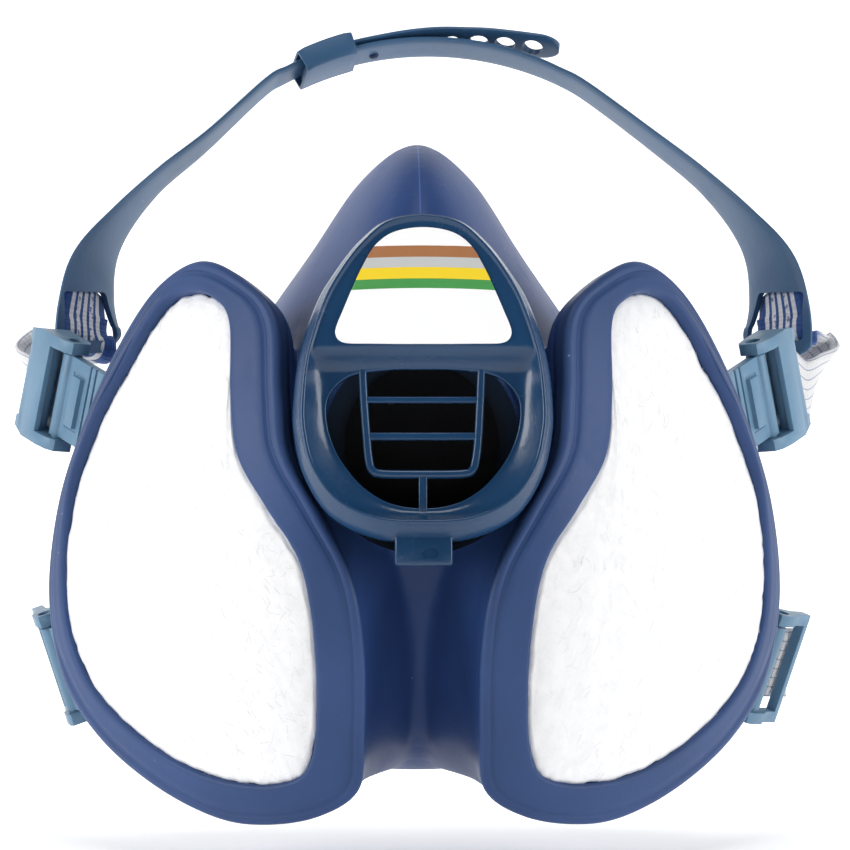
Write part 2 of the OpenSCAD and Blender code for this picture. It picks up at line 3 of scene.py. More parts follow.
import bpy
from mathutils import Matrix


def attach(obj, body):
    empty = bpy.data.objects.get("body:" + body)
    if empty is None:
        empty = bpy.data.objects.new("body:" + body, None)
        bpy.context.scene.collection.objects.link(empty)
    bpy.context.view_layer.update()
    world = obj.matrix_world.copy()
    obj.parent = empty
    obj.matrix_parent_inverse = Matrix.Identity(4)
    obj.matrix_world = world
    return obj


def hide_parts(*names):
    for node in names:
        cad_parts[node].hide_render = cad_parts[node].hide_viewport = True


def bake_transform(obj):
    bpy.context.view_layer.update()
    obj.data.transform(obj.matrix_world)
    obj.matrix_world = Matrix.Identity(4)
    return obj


bl_info = {
    "name": "Half-mask respirator",
    "version": (1, 0, 0),
    "blender": (4, 5, 0),
    "location": "View3D > Sidebar > Respirator",
    "description": "Builds a reusable half-mask respirator with its filters, valve cover and straps",
    "category": "Object",
}

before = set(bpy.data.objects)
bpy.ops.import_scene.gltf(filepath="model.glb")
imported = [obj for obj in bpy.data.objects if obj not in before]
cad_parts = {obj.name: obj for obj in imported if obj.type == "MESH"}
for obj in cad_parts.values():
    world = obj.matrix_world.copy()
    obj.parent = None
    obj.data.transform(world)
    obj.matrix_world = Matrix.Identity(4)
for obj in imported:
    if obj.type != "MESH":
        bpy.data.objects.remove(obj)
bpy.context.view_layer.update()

import math

import bmesh
import bpy
import numpy as np
from mathutils import Matrix, Vector

MM = 0.001
SIDES = {"left": -1, "right": 1}

# ---------------------------------------------------------------- outlines, in millimetres
CUP_CENTRE = np.array([0.0, -3.0])
CUP_HALF = [(0, 54.3, -32), (10.5, 47.7, -28), (21, 33, -16), (35, 13, -6), (46.5, -8, -1),
            (51.5, -28, 0), (45, -50, -5), (28, -63.5, -14), (0, -67.5, -20)]
RIM_OUT = [(40.8, 30.9), (32.3, 26.8), (26.6, 19.6), (25.8, 6), (24.6, -5.2), (18.8, -16.6), (13, -28.7),
           (10.8, -42), (10.7, -58), (11.7, -67.8), (18.8, -72.9), (28.6, -74.9), (37.94, -74.07),
           (49.62, -68.91),
           (60.59, -60.61), (68.19, -49.62), (71.28, -34), (69.36, -16.61), (64.4, -1), (57.4, 14.4),
           (49.5, 26)]
PAD_OUT = [(43.2, 25), (38.5, 23.6), (35.5, 19), (35.2, 5), (33.8, -6), (28.5, -15.5),
           (22.5, -25.5), (19.9, -40), (19.6, -56), (21.4, -64), (26, -66.7), (33, -67),
           (41, -65.4), (50, -61), (59.5, -53.5), (65.5, -44), (67.7, -31), (66.3, -12.6),
           (61.5, 1), (55, 12.5), (48.5, 22.3)]
PAD_CENTRE = np.array([37.0, -21.0])
FLOOR_DEPTH = 13.25
PORT_RADIUS = 12.4
PORT_BORE = 10.02
VALVE_BORE = 15.02
VALVE_BOSS = 19
OPENING_HALF = [(0, 10.4), (6, 10.3), (12, 9.6), (15.3, 8.1), (17.7, 5.2), (18.3, 2), (17.6, -2.4),
                (15.6, -7), (12, -11.6), (7.8, -14.6), (3.8, -15.9), (0, -16.2)]
COVER_PIVOT = (0.0, -80.6, -3.0)
COVER_LEAN = 9.0
UPPER_HINGE = (np.array([68.6, -15.0, 6.0]), 60.0, -3.75, -16.1)
LOWER_HINGE = (np.array([69.6, -5.5, -48.0]), 62.0, 20.0, 0.0)
LOWER_SWING = {1: -10.0, -1: 16.0}
BUCKLE_HEIGHT = {"upper": 22.0, "lower": 23.0}
BUCKLE_WALL = 2.3
PIN_RADIUS = 1.5
PIN_HOLE = 1.56
KNUCKLE_RADIUS = 1.95


def spline(a, b, c, d, t):
    return 0.5 * (2 * b + (c - a) * t + (2 * a - 5 * b + 4 * c - d) * t**2 + (3 * b - a - 3 * c + d) * t**3)


def closed_curve(points, steps):
    p = np.array(points, float)
    n = len(p)
    return np.array([spline(p[i - 1], p[i], p[(i + 1) % n], p[(i + 2) % n], j / steps)
                     for i in range(n) for j in range(steps)])


def open_curve(points, steps):
    p = np.array(points, float)
    n = len(p)
    rows = [spline(p[max(i - 1, 0)], p[i], p[i + 1], p[min(i + 2, n - 1)], j / steps)
            for i in range(n - 1) for j in range(steps)]
    return np.array(rows + [p[-1]])


def both_halves(half):
    half = [tuple(p) for p in half]
    return half + [(-p[0],) + p[1:] for p in half[-2:0:-1]]


def smooth(x):
    t = np.clip(x, 0, 1)
    return t * t * (3 - 2 * t)


def unit(v):
    return v / np.linalg.norm(v, axis=-1, keepdims=True)


# ---------------------------------------------------------------- the filters' outer surface
DOME_FRONT = -80
DOME_FLAT = 12
DOME_SPAN = 56
DOME_MIDDLE = -20
DOME_CURVE = 0.0045


def dome(x, z):
    """Distance back of the surface: flat near the middle, then curving away to the sides, up and down."""
    across = (np.maximum(np.abs(x) - DOME_FLAT, 0) / DOME_SPAN) ** 2
    return DOME_FRONT + DOME_SPAN * across + DOME_CURVE * (z - DOME_MIDDLE) ** 2


def dome_normal(x, z):
    sideways = 2 * np.maximum(np.abs(x) - DOME_FLAT, 0) / DOME_SPAN * np.sign(x)
    return unit(np.stack([sideways, -np.ones_like(x), 2 * DOME_CURVE * (z - DOME_MIDDLE)], -1))


def at_depth(p, depth):
    """Points of the surface over a plan of (x, z), moved inwards by a depth."""
    p = np.asarray(p, float)
    x, z = p[..., 0], p[..., 1]
    base = np.stack([x, dome(x, z), z], -1)
    return base - dome_normal(x, z) * np.broadcast_to(depth, x.shape)[..., None]


# ---------------------------------------------------------------- meshes
def make_object(name, verts, faces, material, uv=None, smooth_faces=True):
    """A mesh object at the origin from points in millimetres; uv holds one pair per face corner."""
    mesh = bpy.data.meshes.new(name)
    mesh.from_pydata((np.asarray(verts, float) * MM).tolist(), [], [list(map(int, f)) for f in faces])
    if uv is not None:
        layer = mesh.uv_layers.new(name="UVMap")
        layer.data.foreach_set("uv", np.asarray(uv, np.float32).ravel())
    mesh.validate()
    mesh.materials.append(material)
    obj = bpy.data.objects.new(name, mesh)
    bpy.context.scene.collection.objects.link(obj)
    point_outwards(obj)
    if smooth_faces:
        mesh.polygons.foreach_set("use_smooth", [True] * len(mesh.polygons))
    return obj


def point_outwards(obj):
    work = bmesh.new()
    work.from_mesh(obj.data)
    bmesh.ops.recalc_face_normals(work, faces=work.faces)
    work.to_mesh(obj.data)
    work.free()


def ring_faces(m, n, loop):
    faces = []
    for i in range(m if loop else m - 1):
        for j in range(n):
            a, b = i * n + j, i * n + (j + 1) % n
            c, d = ((i + 1) % m) * n + (j + 1) % n, ((i + 1) % m) * n + j
            faces.append((a, b, c, d))
    return faces


def loft(name, rings, material, loop=False):
    """Skin over rings of points. With loop the last ring joins the first; without it both ends are closed."""
    rings = np.asarray(rings, float)
    m, n = rings.shape[:2]
    verts = rings.reshape(-1, 3)
    faces = ring_faces(m, n, loop)
    uv = []
    for i in range(m if loop else m - 1):
        for j in range(n):
            uv += [(j / n, i / m), ((j + 1) / n, i / m), ((j + 1) / n, (i + 1) / m), (j / n, (i + 1) / m)]
    if not loop:
        verts = np.vstack([verts, rings[0].mean(0), rings[-1].mean(0)])
        for j in range(n):
            faces.append((m * n, (j + 1) % n, j))
            faces.append((m * n + 1, (m - 1) * n + j, (m - 1) * n + (j + 1) % n))
            uv += [(0.5, 0), ((j + 1) / n, 0), (j / n, 0), (0.5, 1), (j / n, 1), ((j + 1) / n, 1)]
    return make_object(name, verts, faces, material, uv=uv)


def apply_modifiers(obj):
    """Turns an object with live modifiers into a plain mesh."""
    bpy.context.view_layer.update()
    evaluated = obj.evaluated_get(bpy.context.evaluated_depsgraph_get())
    mesh = bpy.data.meshes.new_from_object(evaluated)
    old = obj.data
    obj.modifiers.clear()
    obj.data = mesh
    mesh.name = obj.name
    bpy.data.meshes.remove(old)
    return obj


def remove(obj):
    mesh = obj.data
    bpy.data.objects.remove(obj)
    if mesh.users == 0:
        bpy.data.meshes.remove(mesh)


def joined(objects, name):
    """One object from several, in the order given."""
    work = bmesh.new()
    for obj in objects:
        work.from_mesh(obj.data)
    first = objects[0]
    work.to_mesh(first.data)
    work.free()
    for obj in objects[1:]:
        remove(obj)
    first.name = name
    first.data.name = name
    return first


def modified(obj, kind, **settings):
    """The object after one modifier."""
    made = obj.modifiers.new(kind, kind)
    for key, value in settings.items():
        setattr(made, key, value)
    return apply_modifiers(obj)


def boolean(obj, tool, operation="DIFFERENCE"):
    modified(obj, "BOOLEAN", operation=operation, solver="MANIFOLD", object=tool)
    remove(tool)
    return obj


def bevel(obj, width, segments=2, angle=35):
    return modified(obj, "BEVEL", width=width * MM, segments=segments, limit_method="ANGLE",
                    angle_limit=math.radians(angle), harden_normals=False)


def shade(obj, angle=40):
    """Smooth faces, with edges sharper than the angle left crisp."""
    mesh = obj.data
    mesh.polygons.foreach_set("use_smooth", [True] * len(mesh.polygons))
    work = bmesh.new()
    work.from_mesh(mesh)
    for edge in work.edges:
        if len(edge.link_faces) == 2:
            edge.smooth = edge.calc_face_angle(0) < math.radians(angle)
    work.to_mesh(mesh)
    work.free()
    return obj


def mirrored_copy(obj):
    """The same piece on the other side of the middle."""
    mesh = obj.data.copy()
    mesh.transform(Matrix.Scale(-1, 4, (1, 0, 0)))
    mesh.flip_normals()
    copy = bpy.data.objects.new("mirrored", mesh)
    bpy.context.scene.collection.objects.link(copy)
    return copy


BOX_FACES = [(0, 1, 3, 2), (4, 6, 7, 5), (0, 4, 5, 1), (2, 3, 7, 6), (0, 2, 6, 4), (1, 5, 7, 3)]


def box_object(low, high, material, place=None):
    points = np.array([(x, y, z) for x in (low[0], high[0]) for y in (low[1], high[1])
                       for z in (low[2], high[2])], float)
    if place is not None:
        points = place(points)
    return make_object("block", points, BOX_FACES, material, smooth_faces=False)


def tube_object(radius, low, high, material, place=None, steps=32, scale=(1, 1)):
    a = np.linspace(0, 2 * math.pi, steps, endpoint=False)
    ring = np.stack([np.cos(a) * radius * scale[0], np.sin(a) * radius * scale[1], np.zeros(steps)], -1)
    rings = np.stack([ring + (0, 0, low), ring + (0, 0, high)])
    if place is not None:
        rings = place(rings)
    return loft("rod", rings, material)


# ---------------------------------------------------------------- shader writing
class Field:
    """A shader socket that Python arithmetic can be written on."""

    def __init__(self, finish, socket):
        self.finish = finish
        self.socket = socket

    def maths(self, operation, *values):
        return self.finish.node("ShaderNodeMath", {"operation": operation}, *values)

    def __add__(self, other):
        return self.maths("ADD", self, other)

    __radd__ = __add__

    def __mul__(self, other):
        return self.maths("MULTIPLY", self, other)

    __rmul__ = __mul__

    def __sub__(self, other):
        return self.maths("SUBTRACT", self, other)

    def __rsub__(self, other):
        return self.maths("SUBTRACT", other, self)

    def __truediv__(self, other):
        return self.maths("DIVIDE", self, other)

    def __pow__(self, other):
        return self.maths("POWER", self, other)

    def above(self, level):
        return self.maths("GREATER_THAN", self, level)

    def clamped(self):
        return self.finish.node("ShaderNodeClamp", {}, self, 0.0, 1.0)

    def ramp(self, low, high):
        """0 below low, 1 above high, and smooth in between."""
        return self.finish.node("ShaderNodeMapRange", {"interpolation_type": "SMOOTHSTEP"}, self, low, high,
                                0.0, 1.0)


class Finish:
    """A material and the one way its nodes are made."""

    def __init__(self, name, roughness=0.5, metallic=0.0, **constants):
        self.material = bpy.data.materials.new(name)
        self.material.use_nodes = True
        self.tree = self.material.node_tree
        self.shader = self.tree.nodes["Principled BSDF"]
        self.set("Roughness", roughness)
        self.set("Metallic", metallic)
        for key, value in constants.items():
            self.set(key.replace("_", " "), value)

    def set(self, socket, value):
        if isinstance(value, Field):
            self.tree.links.new(value.socket, self.shader.inputs[socket])
        else:
            self.shader.inputs[socket].default_value = value

    def node(self, kind, settings, *values, output=0, **named):
        """Adds a node; values go to its first sockets in order, named ones to the sockets of that name."""
        made = self.tree.nodes.new(kind)
        for key, value in settings.items():
            setattr(made, key, value)
        pairs = list(zip(made.inputs, values)) + [(made.inputs[key], value) for key, value in named.items()]
        for socket, value in pairs:
            if isinstance(value, Field):
                self.tree.links.new(value.socket, socket)
            else:
                socket.default_value = value
        return Field(self, made.outputs[output])

    def coords(self, kind="Object"):
        return self.node("ShaderNodeTexCoord", {}, output=["Generated", "Normal", "UV", "Object"].index(kind))

    def axes(self, vector):
        made = self.tree.nodes.new("ShaderNodeSeparateXYZ")
        self.tree.links.new(vector.socket, made.inputs[0])
        return [Field(self, made.outputs[i]) for i in range(3)]

    def noise(self, vector, scale, detail=3.0, rough=0.5, distortion=0.0):
        return self.node("ShaderNodeTexNoise", {}, Vector=vector, Scale=scale, Detail=detail,
                         Roughness=rough, Distortion=distortion)

    def specks(self, vector, scale, size):
        """1 on small scattered dots."""
        distance = self.node("ShaderNodeTexVoronoi", {}, Vector=vector, Scale=scale)
        return 1 - distance.ramp(size * 0.6, size)

    def mix(self, factor, a, b):
        """A colour mix; the node keeps its colour sockets at 6 and 7 and its colour output at 2."""
        made = self.tree.nodes.new("ShaderNodeMix")
        made.data_type = "RGBA"
        for socket, value in ((made.inputs[0], factor), (made.inputs[6], a), (made.inputs[7], b)):
            if isinstance(value, Field):
                self.tree.links.new(value.socket, socket)
            else:
                socket.default_value = value
        return Field(self, made.outputs[2])

    def bump(self, height, strength, distance):
        return self.node("ShaderNodeBump", {}, Strength=strength, Distance=distance, Height=height)


def tint(colour, factor):
    return tuple(min(c * factor, 1.0) for c in colour[:3]) + (1.0,)


def plastic(name, colour, roughness, grain=0.0006, marks=0.35, gloss=0.4, seam_highlight=False):
    """Moulded plastic or elastomer: cloudy colour, fine grain, rubbed patches and a few specks of dust."""
    f = Finish(name, roughness, Specular_IOR_Level=gloss)
    place = f.coords()
    clouds = f.noise(place, 38, 4)
    fine = f.noise(place, 900, 2)
    rubbed = f.noise(place, 120, 5, 0.65, 0.4).ramp(0.5, 0.78)
    dust = f.specks(place, 190, 0.055) * f.noise(place, 30, 1).ramp(0.5, 0.62)
    base = f.mix(clouds.ramp(0.3, 0.72), tint(colour, 0.9), tint(colour, 1.1))
    base = f.mix(rubbed * (0.12 * marks), base, tint(colour, 2.2))
    base = f.mix(dust * (0.5 * marks), base, (0.75, 0.8, 0.88, 1))
    # the mould seam down the nose is real; its lighter line is a painted highlight along the seam's ridge
    if seam_highlight:
        x, _, z = f.axes(place)
        line = (1 - (x * x).ramp(0.6e-8, 2.2e-8)) * z.ramp(0.0385, 0.041)
        base = f.mix(line * 0.45, base, tint(colour, 3.4))
    f.set("Base Color", base)
    f.set("Roughness", rubbed * 0.1 + clouds * 0.08 + dust * 0.2 + (roughness - 0.05))
    f.set("Normal", f.bump(fine * 0.5 + rubbed * 0.15, 0.35, grain * 0.35))
    return f.material


def fibre_finish(name):
    """Needled white fibre with fine crossing strands."""
    f = Finish(name, 0.95, Sheen_Weight=0.25, Sheen_Roughness=0.5, Specular_IOR_Level=0.15)
    place = f.coords()
    warped = f.node("ShaderNodeVectorMath", {"operation": "MULTIPLY"}, place, (1.0, 1.0, 3.2))
    across = f.node("ShaderNodeVectorMath", {"operation": "MULTIPLY"}, place, (3.4, 1.0, 1.0))
    strands = f.noise(warped, 1500, 3, 0.6, 1.4) * 0.5 + f.noise(across, 1300, 3, 0.6, 1.8) * 0.5
    mat = f.noise(place, 320, 5, 0.62)
    broad = f.noise(place, 26, 3)
    f.set("Base Color", f.mix((strands * 0.5 + mat * 0.5).ramp(0.32, 0.6), (0.87, 0.875, 0.885, 1),
                              (0.94, 0.94, 0.945, 1)))
    f.set("Normal", f.bump(strands * 0.4 + mat * 0.5 + broad * 1.2, 0.26, 0.0005))
    return f.material


def granule_finish(name):
    f = Finish(name, 0.85)
    place = f.coords()
    cells = f.node("ShaderNodeTexVoronoi", {}, Vector=place, Scale=900.0)
    f.set("Base Color", f.mix(cells.ramp(0.1, 0.6), (0.03, 0.03, 0.032, 1), (0.008, 0.008, 0.009, 1)))
    f.set("Normal", f.bump(cells, 0.8, 0.0006))
    return f.material


def label_finish(name):
    """Satin printed film: plain colour bands across a white ground, no lettering, glowing faintly in its own
    colours as painted light.
    """
    f = Finish(name, 0.32, Coat_Weight=0.15, Coat_Roughness=0.12, Emission_Strength=0.16)
    place = f.coords()
    x, _, z = f.axes(place)
    height = z * 1000 + (x * 1000) ** 2 * 0.0022
    edges = [(25.2, (0.9, 0.9, 0.9, 1)), (27.0, (0.06, 0.29, 0.07, 1)), (29.1, (0.83, 0.6, 0.02, 1)),
             (31.0, (0.5, 0.51, 0.5, 1)), (33.1, (0.35, 0.15, 0.06, 1)), (60, (0.9, 0.9, 0.9, 1))]
    colour = edges[0][1]
    for (low, _), (_, shade_of) in zip(edges, edges[1:]):
        colour = f.mix(height.above(low), colour, shade_of)
    grain = f.noise(place, 700, 2)
    f.set("Base Color", f.mix(grain * 0.04, colour, (0.6, 0.62, 0.65, 1)))
    # painted light: the label glows in its own band colours though it is no lamp
    f.set("Emission Color", colour)
    f.set("Normal", f.bump(grain, 0.08, 0.0001))
    return f.material


def webbing_finish(name, light, dark, lead_in=True):
    """Woven elastic: light stripes along a dark ground, two of them flecked, with fine ribs across."""
    f = Finish(name, 0.9, Sheen_Weight=0.2, Specular_IOR_Level=0.2)
    u, v, _ = f.axes(f.coords("UV"))
    place = u / 0.139 - (0.5 / 0.139 - 0.5)
    inside = (u - 0.5).maths("ABSOLUTE", u - 0.5)
    off = place.maths("FRACT", place) - 0.5
    stripe = (1 - off.maths("ABSOLUTE", off).ramp(0.27, 0.33)) * (1 - inside.ramp(0.345, 0.355))
    column = place.maths("FLOOR", place)
    odd = (column * column).maths("COMPARE", column * column, 1.0, 0.5)
    flecks = f.noise(f.coords(), 900, 2).ramp(0.42, 0.5)
    stripe = stripe * (1 - odd * (1 - flecks) * 0.75)
    ribs = f.node("ShaderNodeMath", {"operation": "SINE"}, v * 7500.0) * 0.5 + 0.5
    strands = f.node("ShaderNodeMath", {"operation": "SINE"}, u * 220.0) * 0.5 + 0.5
    if lead_in:
        lead = (1 - v.ramp(0.04, 0.05)) * (1 - off.maths("ABSOLUTE", off).ramp(0.4, 0.46) * 0.5)
        stripe = (stripe + lead).clamped()
    colour = f.mix(stripe, tuple(dark), tuple(light))
    f.set("Base Color", f.mix(ribs * strands * 0.25, colour, (0.02, 0.03, 0.06, 1)))
    f.set("Normal", f.bump(ribs * 0.6 + strands * 0.5, 0.6, 0.0003))
    return f.material


# ---------------------------------------------------------------- sections, frames and ribbons
def section(width_points, thick_points):
    """Round-cornered flat section as (across, through) pairs between -0.5 and 0.5."""
    across = np.linspace(-0.5, 0.5, width_points)
    top = [(a, 0.5) for a in across[1:-1]]
    side = [(0.5, t) for t in np.linspace(0.28, -0.28, thick_points)]
    low = [(a, -0.5) for a in across[-2:0:-1]]
    other = [(-0.5, t) for t in np.linspace(-0.28, 0.28, thick_points)]
    return np.array(top + side + low + other)


def ribbon(name, centres, directions, widths, thick, material, shape=None, bulge=0.0):
    """A flat band swept along its centres; the width direction is given at every centre."""
    c = np.asarray(centres, float)
    ahead = unit(np.gradient(c, axis=0))
    w = np.asarray(directions, float)
    across = unit(w - ahead * np.sum(ahead * w, -1, keepdims=True))
    out = np.cross(ahead, across)
    shape = section(13, 3) if shape is None else shape
    widths = np.broadcast_to(np.asarray(widths, float), len(c))
    rings = (c[:, None] + across[:, None] * (shape[None, :, :1] * widths[:, None, None])
             + out[:, None] * (shape[None, :, 1:] * thick
                               * (1 - bulge * (2 * np.abs(shape[None, :, :1])) ** 4)))
    along = np.concatenate([[0], np.cumsum(np.linalg.norm(np.diff(c, axis=0), axis=1))]) * MM
    obj = loft(name, rings, material)
    layer = obj.data.uv_layers[0]
    n = len(shape)
    m = len(c)
    for poly in obj.data.polygons:
        for corner in poly.loop_indices:
            v = obj.data.loops[corner].vertex_index
            if v < m * n:
                layer.data[corner].uv = (shape[v % n, 0] + 0.5, along[v // n])
            else:
                layer.data[corner].uv = (0.5, along[0] if v == m * n else along[-1])
    return obj


def turned(p, axis, degrees):
    """Points turned about the x, y or z axis, which is given as 0, 1 or 2."""
    a = math.radians(degrees)
    i, j = (axis + 1) % 3, (axis + 2) % 3
    out = np.array(p, float)
    out[..., i] = p[..., i] * math.cos(a) - p[..., j] * math.sin(a)
    out[..., j] = p[..., i] * math.sin(a) + p[..., j] * math.cos(a)
    return out


def on_hinge(hinge, side, swing=0):
    """A move from a hinge's own frame to the shared one; the swing is about the hinge's pin."""
    place, turn, tilt, rise = hinge

    def move(p):
        out = turned(np.asarray(p, float), 2, swing)
        for axis, degrees in ((0, tilt), (1, rise), (2, turn)):
            out = turned(out, axis, degrees)
        out = out + place
        out[..., 0] *= side
        return out
    return move


def on_cover(p):
    """From the cover's own frame (right, up, out to the front) to the shared one."""
    p = np.asarray(p, float) + (0, 3, 0)
    return turned(p, 0, 90 - COVER_LEAN) + COVER_PIVOT


# ---------------------------------------------------------------- soft facepiece
CUP_EDGE = closed_curve(both_halves(CUP_HALF), 9)
CUP_START = 12.4
CUP_FRONT = -64
CUP_POWER = 1.1


def cup_ring(u, inset):
    e = CUP_EDGE[:, :2] - CUP_CENTRE
    size = np.linalg.norm(e, axis=1)
    front = CUP_FRONT - 8 * np.maximum(e[:, 1] / size, 0) ** 3 + inset
    reach = CUP_START + (size - inset - CUP_START) * math.sin(u) ** CUP_POWER
    return np.stack([CUP_CENTRE[0] + e[:, 0] / size * reach,
                     front + (CUP_EDGE[:, 2] - front) * (1 - math.cos(u)),
                     CUP_CENTRE[1] + e[:, 1] / size * reach], -1)


def lip_ring(inset, back):
    e = CUP_EDGE[:, :2] - CUP_CENTRE
    size = np.linalg.norm(e, axis=1)
    return np.stack([e[:, 0] / size * (size - inset), CUP_EDGE[:, 2] + back,
                     CUP_CENTRE[1] + e[:, 1] / size * (size - inset)], -1)


def valley_floor(z):
    """The cup's front surface on the middle line below the valve."""
    reach = np.clip((np.abs(z + 3) - CUP_START) / 52.1, 0, 1) ** (1 / CUP_POWER)
    return CUP_FRONT + 44 * (1 - np.sqrt(1 - reach**2))


def lobe_bowl(material, side):
    """The moulded wall behind one filter, which also forms that side of the valley under the valve."""
    pad = closed_curve(PAD_OUT, 9)
    rim = closed_curve(RIM_OUT, 9)
    z = rim[:, 1]
    valley = smooth((31 - rim[:, 0]) / 6) * smooth((2 - z) / 10) * smooth((z + 75) / 9)
    strip = np.interp(z, [-75, -70, -64, -60, -45, -36, -26, -12, -4], [8, 5, 1.6, 1.1, 1.1, 1.9, 4.2, 10,
                                                                        17])
    floor = valley_floor(z) + 1.0
    top = at_depth(rim, 2.6)
    rings = [at_depth(PAD_CENTRE + (rim - PAD_CENTRE) * 0.5, 2.6)]
    for t in np.linspace(0, 1, 16):
        bend = math.radians(90 * t)
        plain = at_depth(rim + (pad - rim) * (0.78 * (1 - math.cos(bend))), 2.6 + 13.1 * t)
        wall = np.stack([strip + (rim[:, 0] - strip) * math.cos(bend) ** 1.25, top[:, 1]
                         + (floor - top[:, 1]) * t, z], -1)
        rings.append(plain + (wall - plain) * valley[:, None])
    rings = np.array(rings)
    rings[..., 0] *= side
    return loft("bowl", rings, material)


def port_frame(side):
    """Middle and axes of an inhalation port's outer end."""
    centre = at_depth(PAD_CENTRE, 0.0)
    axis = dome_normal(*PAD_CENTRE)
    across = unit(np.cross(axis, (0, 0, 1.0)))
    up = np.cross(across, axis)

    def move(p):
        p = np.asarray(p, float)
        out = centre + p[..., :1] * across + p[..., 1:2] * up + p[..., 2:] * axis
        out[..., 0] *= side
        return out
    return move


def pocket(material, side):
    pad = closed_curve(PAD_OUT, 9)
    steps = [0.2, 0.45, 0.7, 0.88, 1.006]
    rings = [at_depth(PAD_CENTRE + (pad - PAD_CENTRE) * t, -6) for t in steps]
    rings += [at_depth(PAD_CENTRE + (pad - PAD_CENTRE) * t, FLOOR_DEPTH) for t in steps[::-1]]
    rings = np.array(rings)
    rings[..., 0] *= side
    return loft("pocket", rings, material)


def build_facepiece(material, voxel):
    """The soft cup, its lip, the filters' bowls and the valve's boss as one skin, then bored and hollowed."""
    degrees = math.radians
    outer = [cup_ring(degrees(u), 0) for u in np.linspace(0, 90, 26)]
    lip = [lip_ring(0.4, 2.2), lip_ring(2, 3.4), lip_ring(5.4, 3), lip_ring(9, 1.4), lip_ring(9, 0.4),
           lip_ring(5.4, 1.5), lip_ring(3.5, 0.8)]
    inner = [cup_ring(degrees(u), 2.3) for u in np.linspace(86, 0, 20)]
    cup = loft("cup", outer + lip + inner, material, loop=True)
    along_y = lambda p: np.stack([p[..., 0], p[..., 2], p[..., 1] - 3], -1)
    boss = tube_object(VALVE_BOSS, -70, -57, material, along_y, 64)
    body = joined([cup, boss, lobe_bowl(material, 1), lobe_bowl(material, -1)], "mask_body")
    modified(body, "REMESH", mode="VOXEL", voxel_size=voxel * MM)
    modified(body, "SMOOTH", factor=0.5, iterations=5)
    hollow = [cup_ring(degrees(u), 2.6) for u in np.linspace(0, 77, 18)]
    hollow += [lip_ring(6.3, -2.5), lip_ring(11, -1), lip_ring(11, 30)]
    boolean(body, loft("hollow", hollow, material))
    for side in (1, -1):
        move = port_frame(side)
        boolean(body, tube_object(PORT_RADIUS, -FLOOR_DEPTH - 5.8, -FLOOR_DEPTH + 1, material, move, 64),
                "UNION")
    for side in (1, -1):
        boolean(body, pocket(material, side))
        boolean(body, tube_object(PORT_BORE, -30, 10, material, port_frame(side), 64))
    boolean(body, tube_object(VALVE_BORE, -76, -36, material, along_y, 96))
    body.data.materials.clear()
    body.data.materials.append(material)
    return shade(body, 32)


# ---------------------------------------------------------------- filters
def rim_profile(width):
    """Section of the rim as (distance from the pad's edge, height), for one width between the edges."""
    grooved = float(smooth((width - 5.2) / 1.4))
    roll = 2.6 * grooved + 1.7 * (1 - grooved)
    start = width - roll
    points = [(0.05, -3.2), (0.05, -1.4), (0.06, -0.1), (0.12, 0.9), (0.35, 1.28), (0.8, 1.42), (1.5, 1.4)]
    points += [(1.5 + (start - 2.4) * k, 1.4 - 0.1 * k * (1 - k)) for k in (0.25, 0.5, 0.75, 1)]
    deep = 0.22 * grooved
    points += [(start - 0.6, 1.36 - deep * 0.3), (start - 0.3, 1.32 - deep * 0.75), (start, 1.3 - deep),
               (start + 0.25, 1.3 - deep * 0.85)]
    for a in np.linspace(138, -15, 9):
        r = roll / 2
        points.append((start + r + r * math.cos(math.radians(a)), 0.35 + r * 0.8 * math.sin(math.radians(a))))
    points += [(width - 0.05, -1.2), (width - 0.1, -3.2)]
    return points


def build_rim(side, material):
    pad = closed_curve(PAD_OUT, 12)
    rim = closed_curve(RIM_OUT, 12)
    width = np.linalg.norm(rim - pad, axis=1)
    width = np.convolve(np.r_[width[-6:], width, width[:6]], np.ones(13) / 13, "valid")
    profiles = np.array([rim_profile(w) for w in width])
    rings = []
    for k in range(profiles.shape[1]):
        q = (profiles[:, k, 0] / width)[:, None]
        rings.append(at_depth(pad + (rim - pad) * q, -profiles[:, k, 1]))
    rings = np.array(rings)
    rings[..., 0] *= side
    return loft("filter_rim_" + ("right" if side > 0 else "left"), rings, material, loop=True)


def pad_depth(p):
    """How far the fibre lies below the rim's base plane: flush at the inner edge, sunk at the outer top."""
    towards = (p[..., 0] - 37) * 0.5 + (p[..., 1] + 21) * 0.65
    return -0.85 + 1.4 * smooth((towards - 12) / 14)


def build_pad(side, material, name):
    rng = np.random.default_rng(11 if side > 0 else 12)
    pad = closed_curve(PAD_OUT, 12)
    n = len(pad)
    ragged = np.convolve(np.tile(rng.normal(0, 1, n), 3), np.ones(3) / 3, "same")[n:2 * n] * 0.22
    reach = np.linalg.norm(pad - PAD_CENTRE, axis=1)
    rings = []
    for t in np.r_[np.linspace(0.03, 0.9, 30), np.linspace(0.92, 1.002, 7)]:
        plan = PAD_CENTRE + (pad - PAD_CENTRE) * (t + (ragged / reach) * smooth((t - 0.85) / 0.14))[:, None]
        edge = (1 - t) * reach
        drop = 0.55 * (1 - smooth(edge / 1.6)) ** 2
        rings.append(at_depth(plan, pad_depth(plan) + drop - 0.35 * smooth(edge / 9)))
    rings += [at_depth(PAD_CENTRE + (pad - PAD_CENTRE) * t, 2.9) for t in (0.985, 0.6, 0.03)]
    rings = np.array(rings)
    rings[..., 0] *= side
    obj = loft(name, rings, material)
    for scale, strength in ((0.006, 0.00055), (0.0016, 0.0003)):
        cloud = bpy.data.textures.new(name + "_cloud", "CLOUDS")
        cloud.noise_scale = scale
        cloud.noise_depth = 2
        move = obj.modifiers.new("lumps", "DISPLACE")
        move.texture = cloud
        move.strength = strength
        move.mid_level = 0.5
        move.texture_coords = "LOCAL"
    apply_modifiers(obj)
    return obj


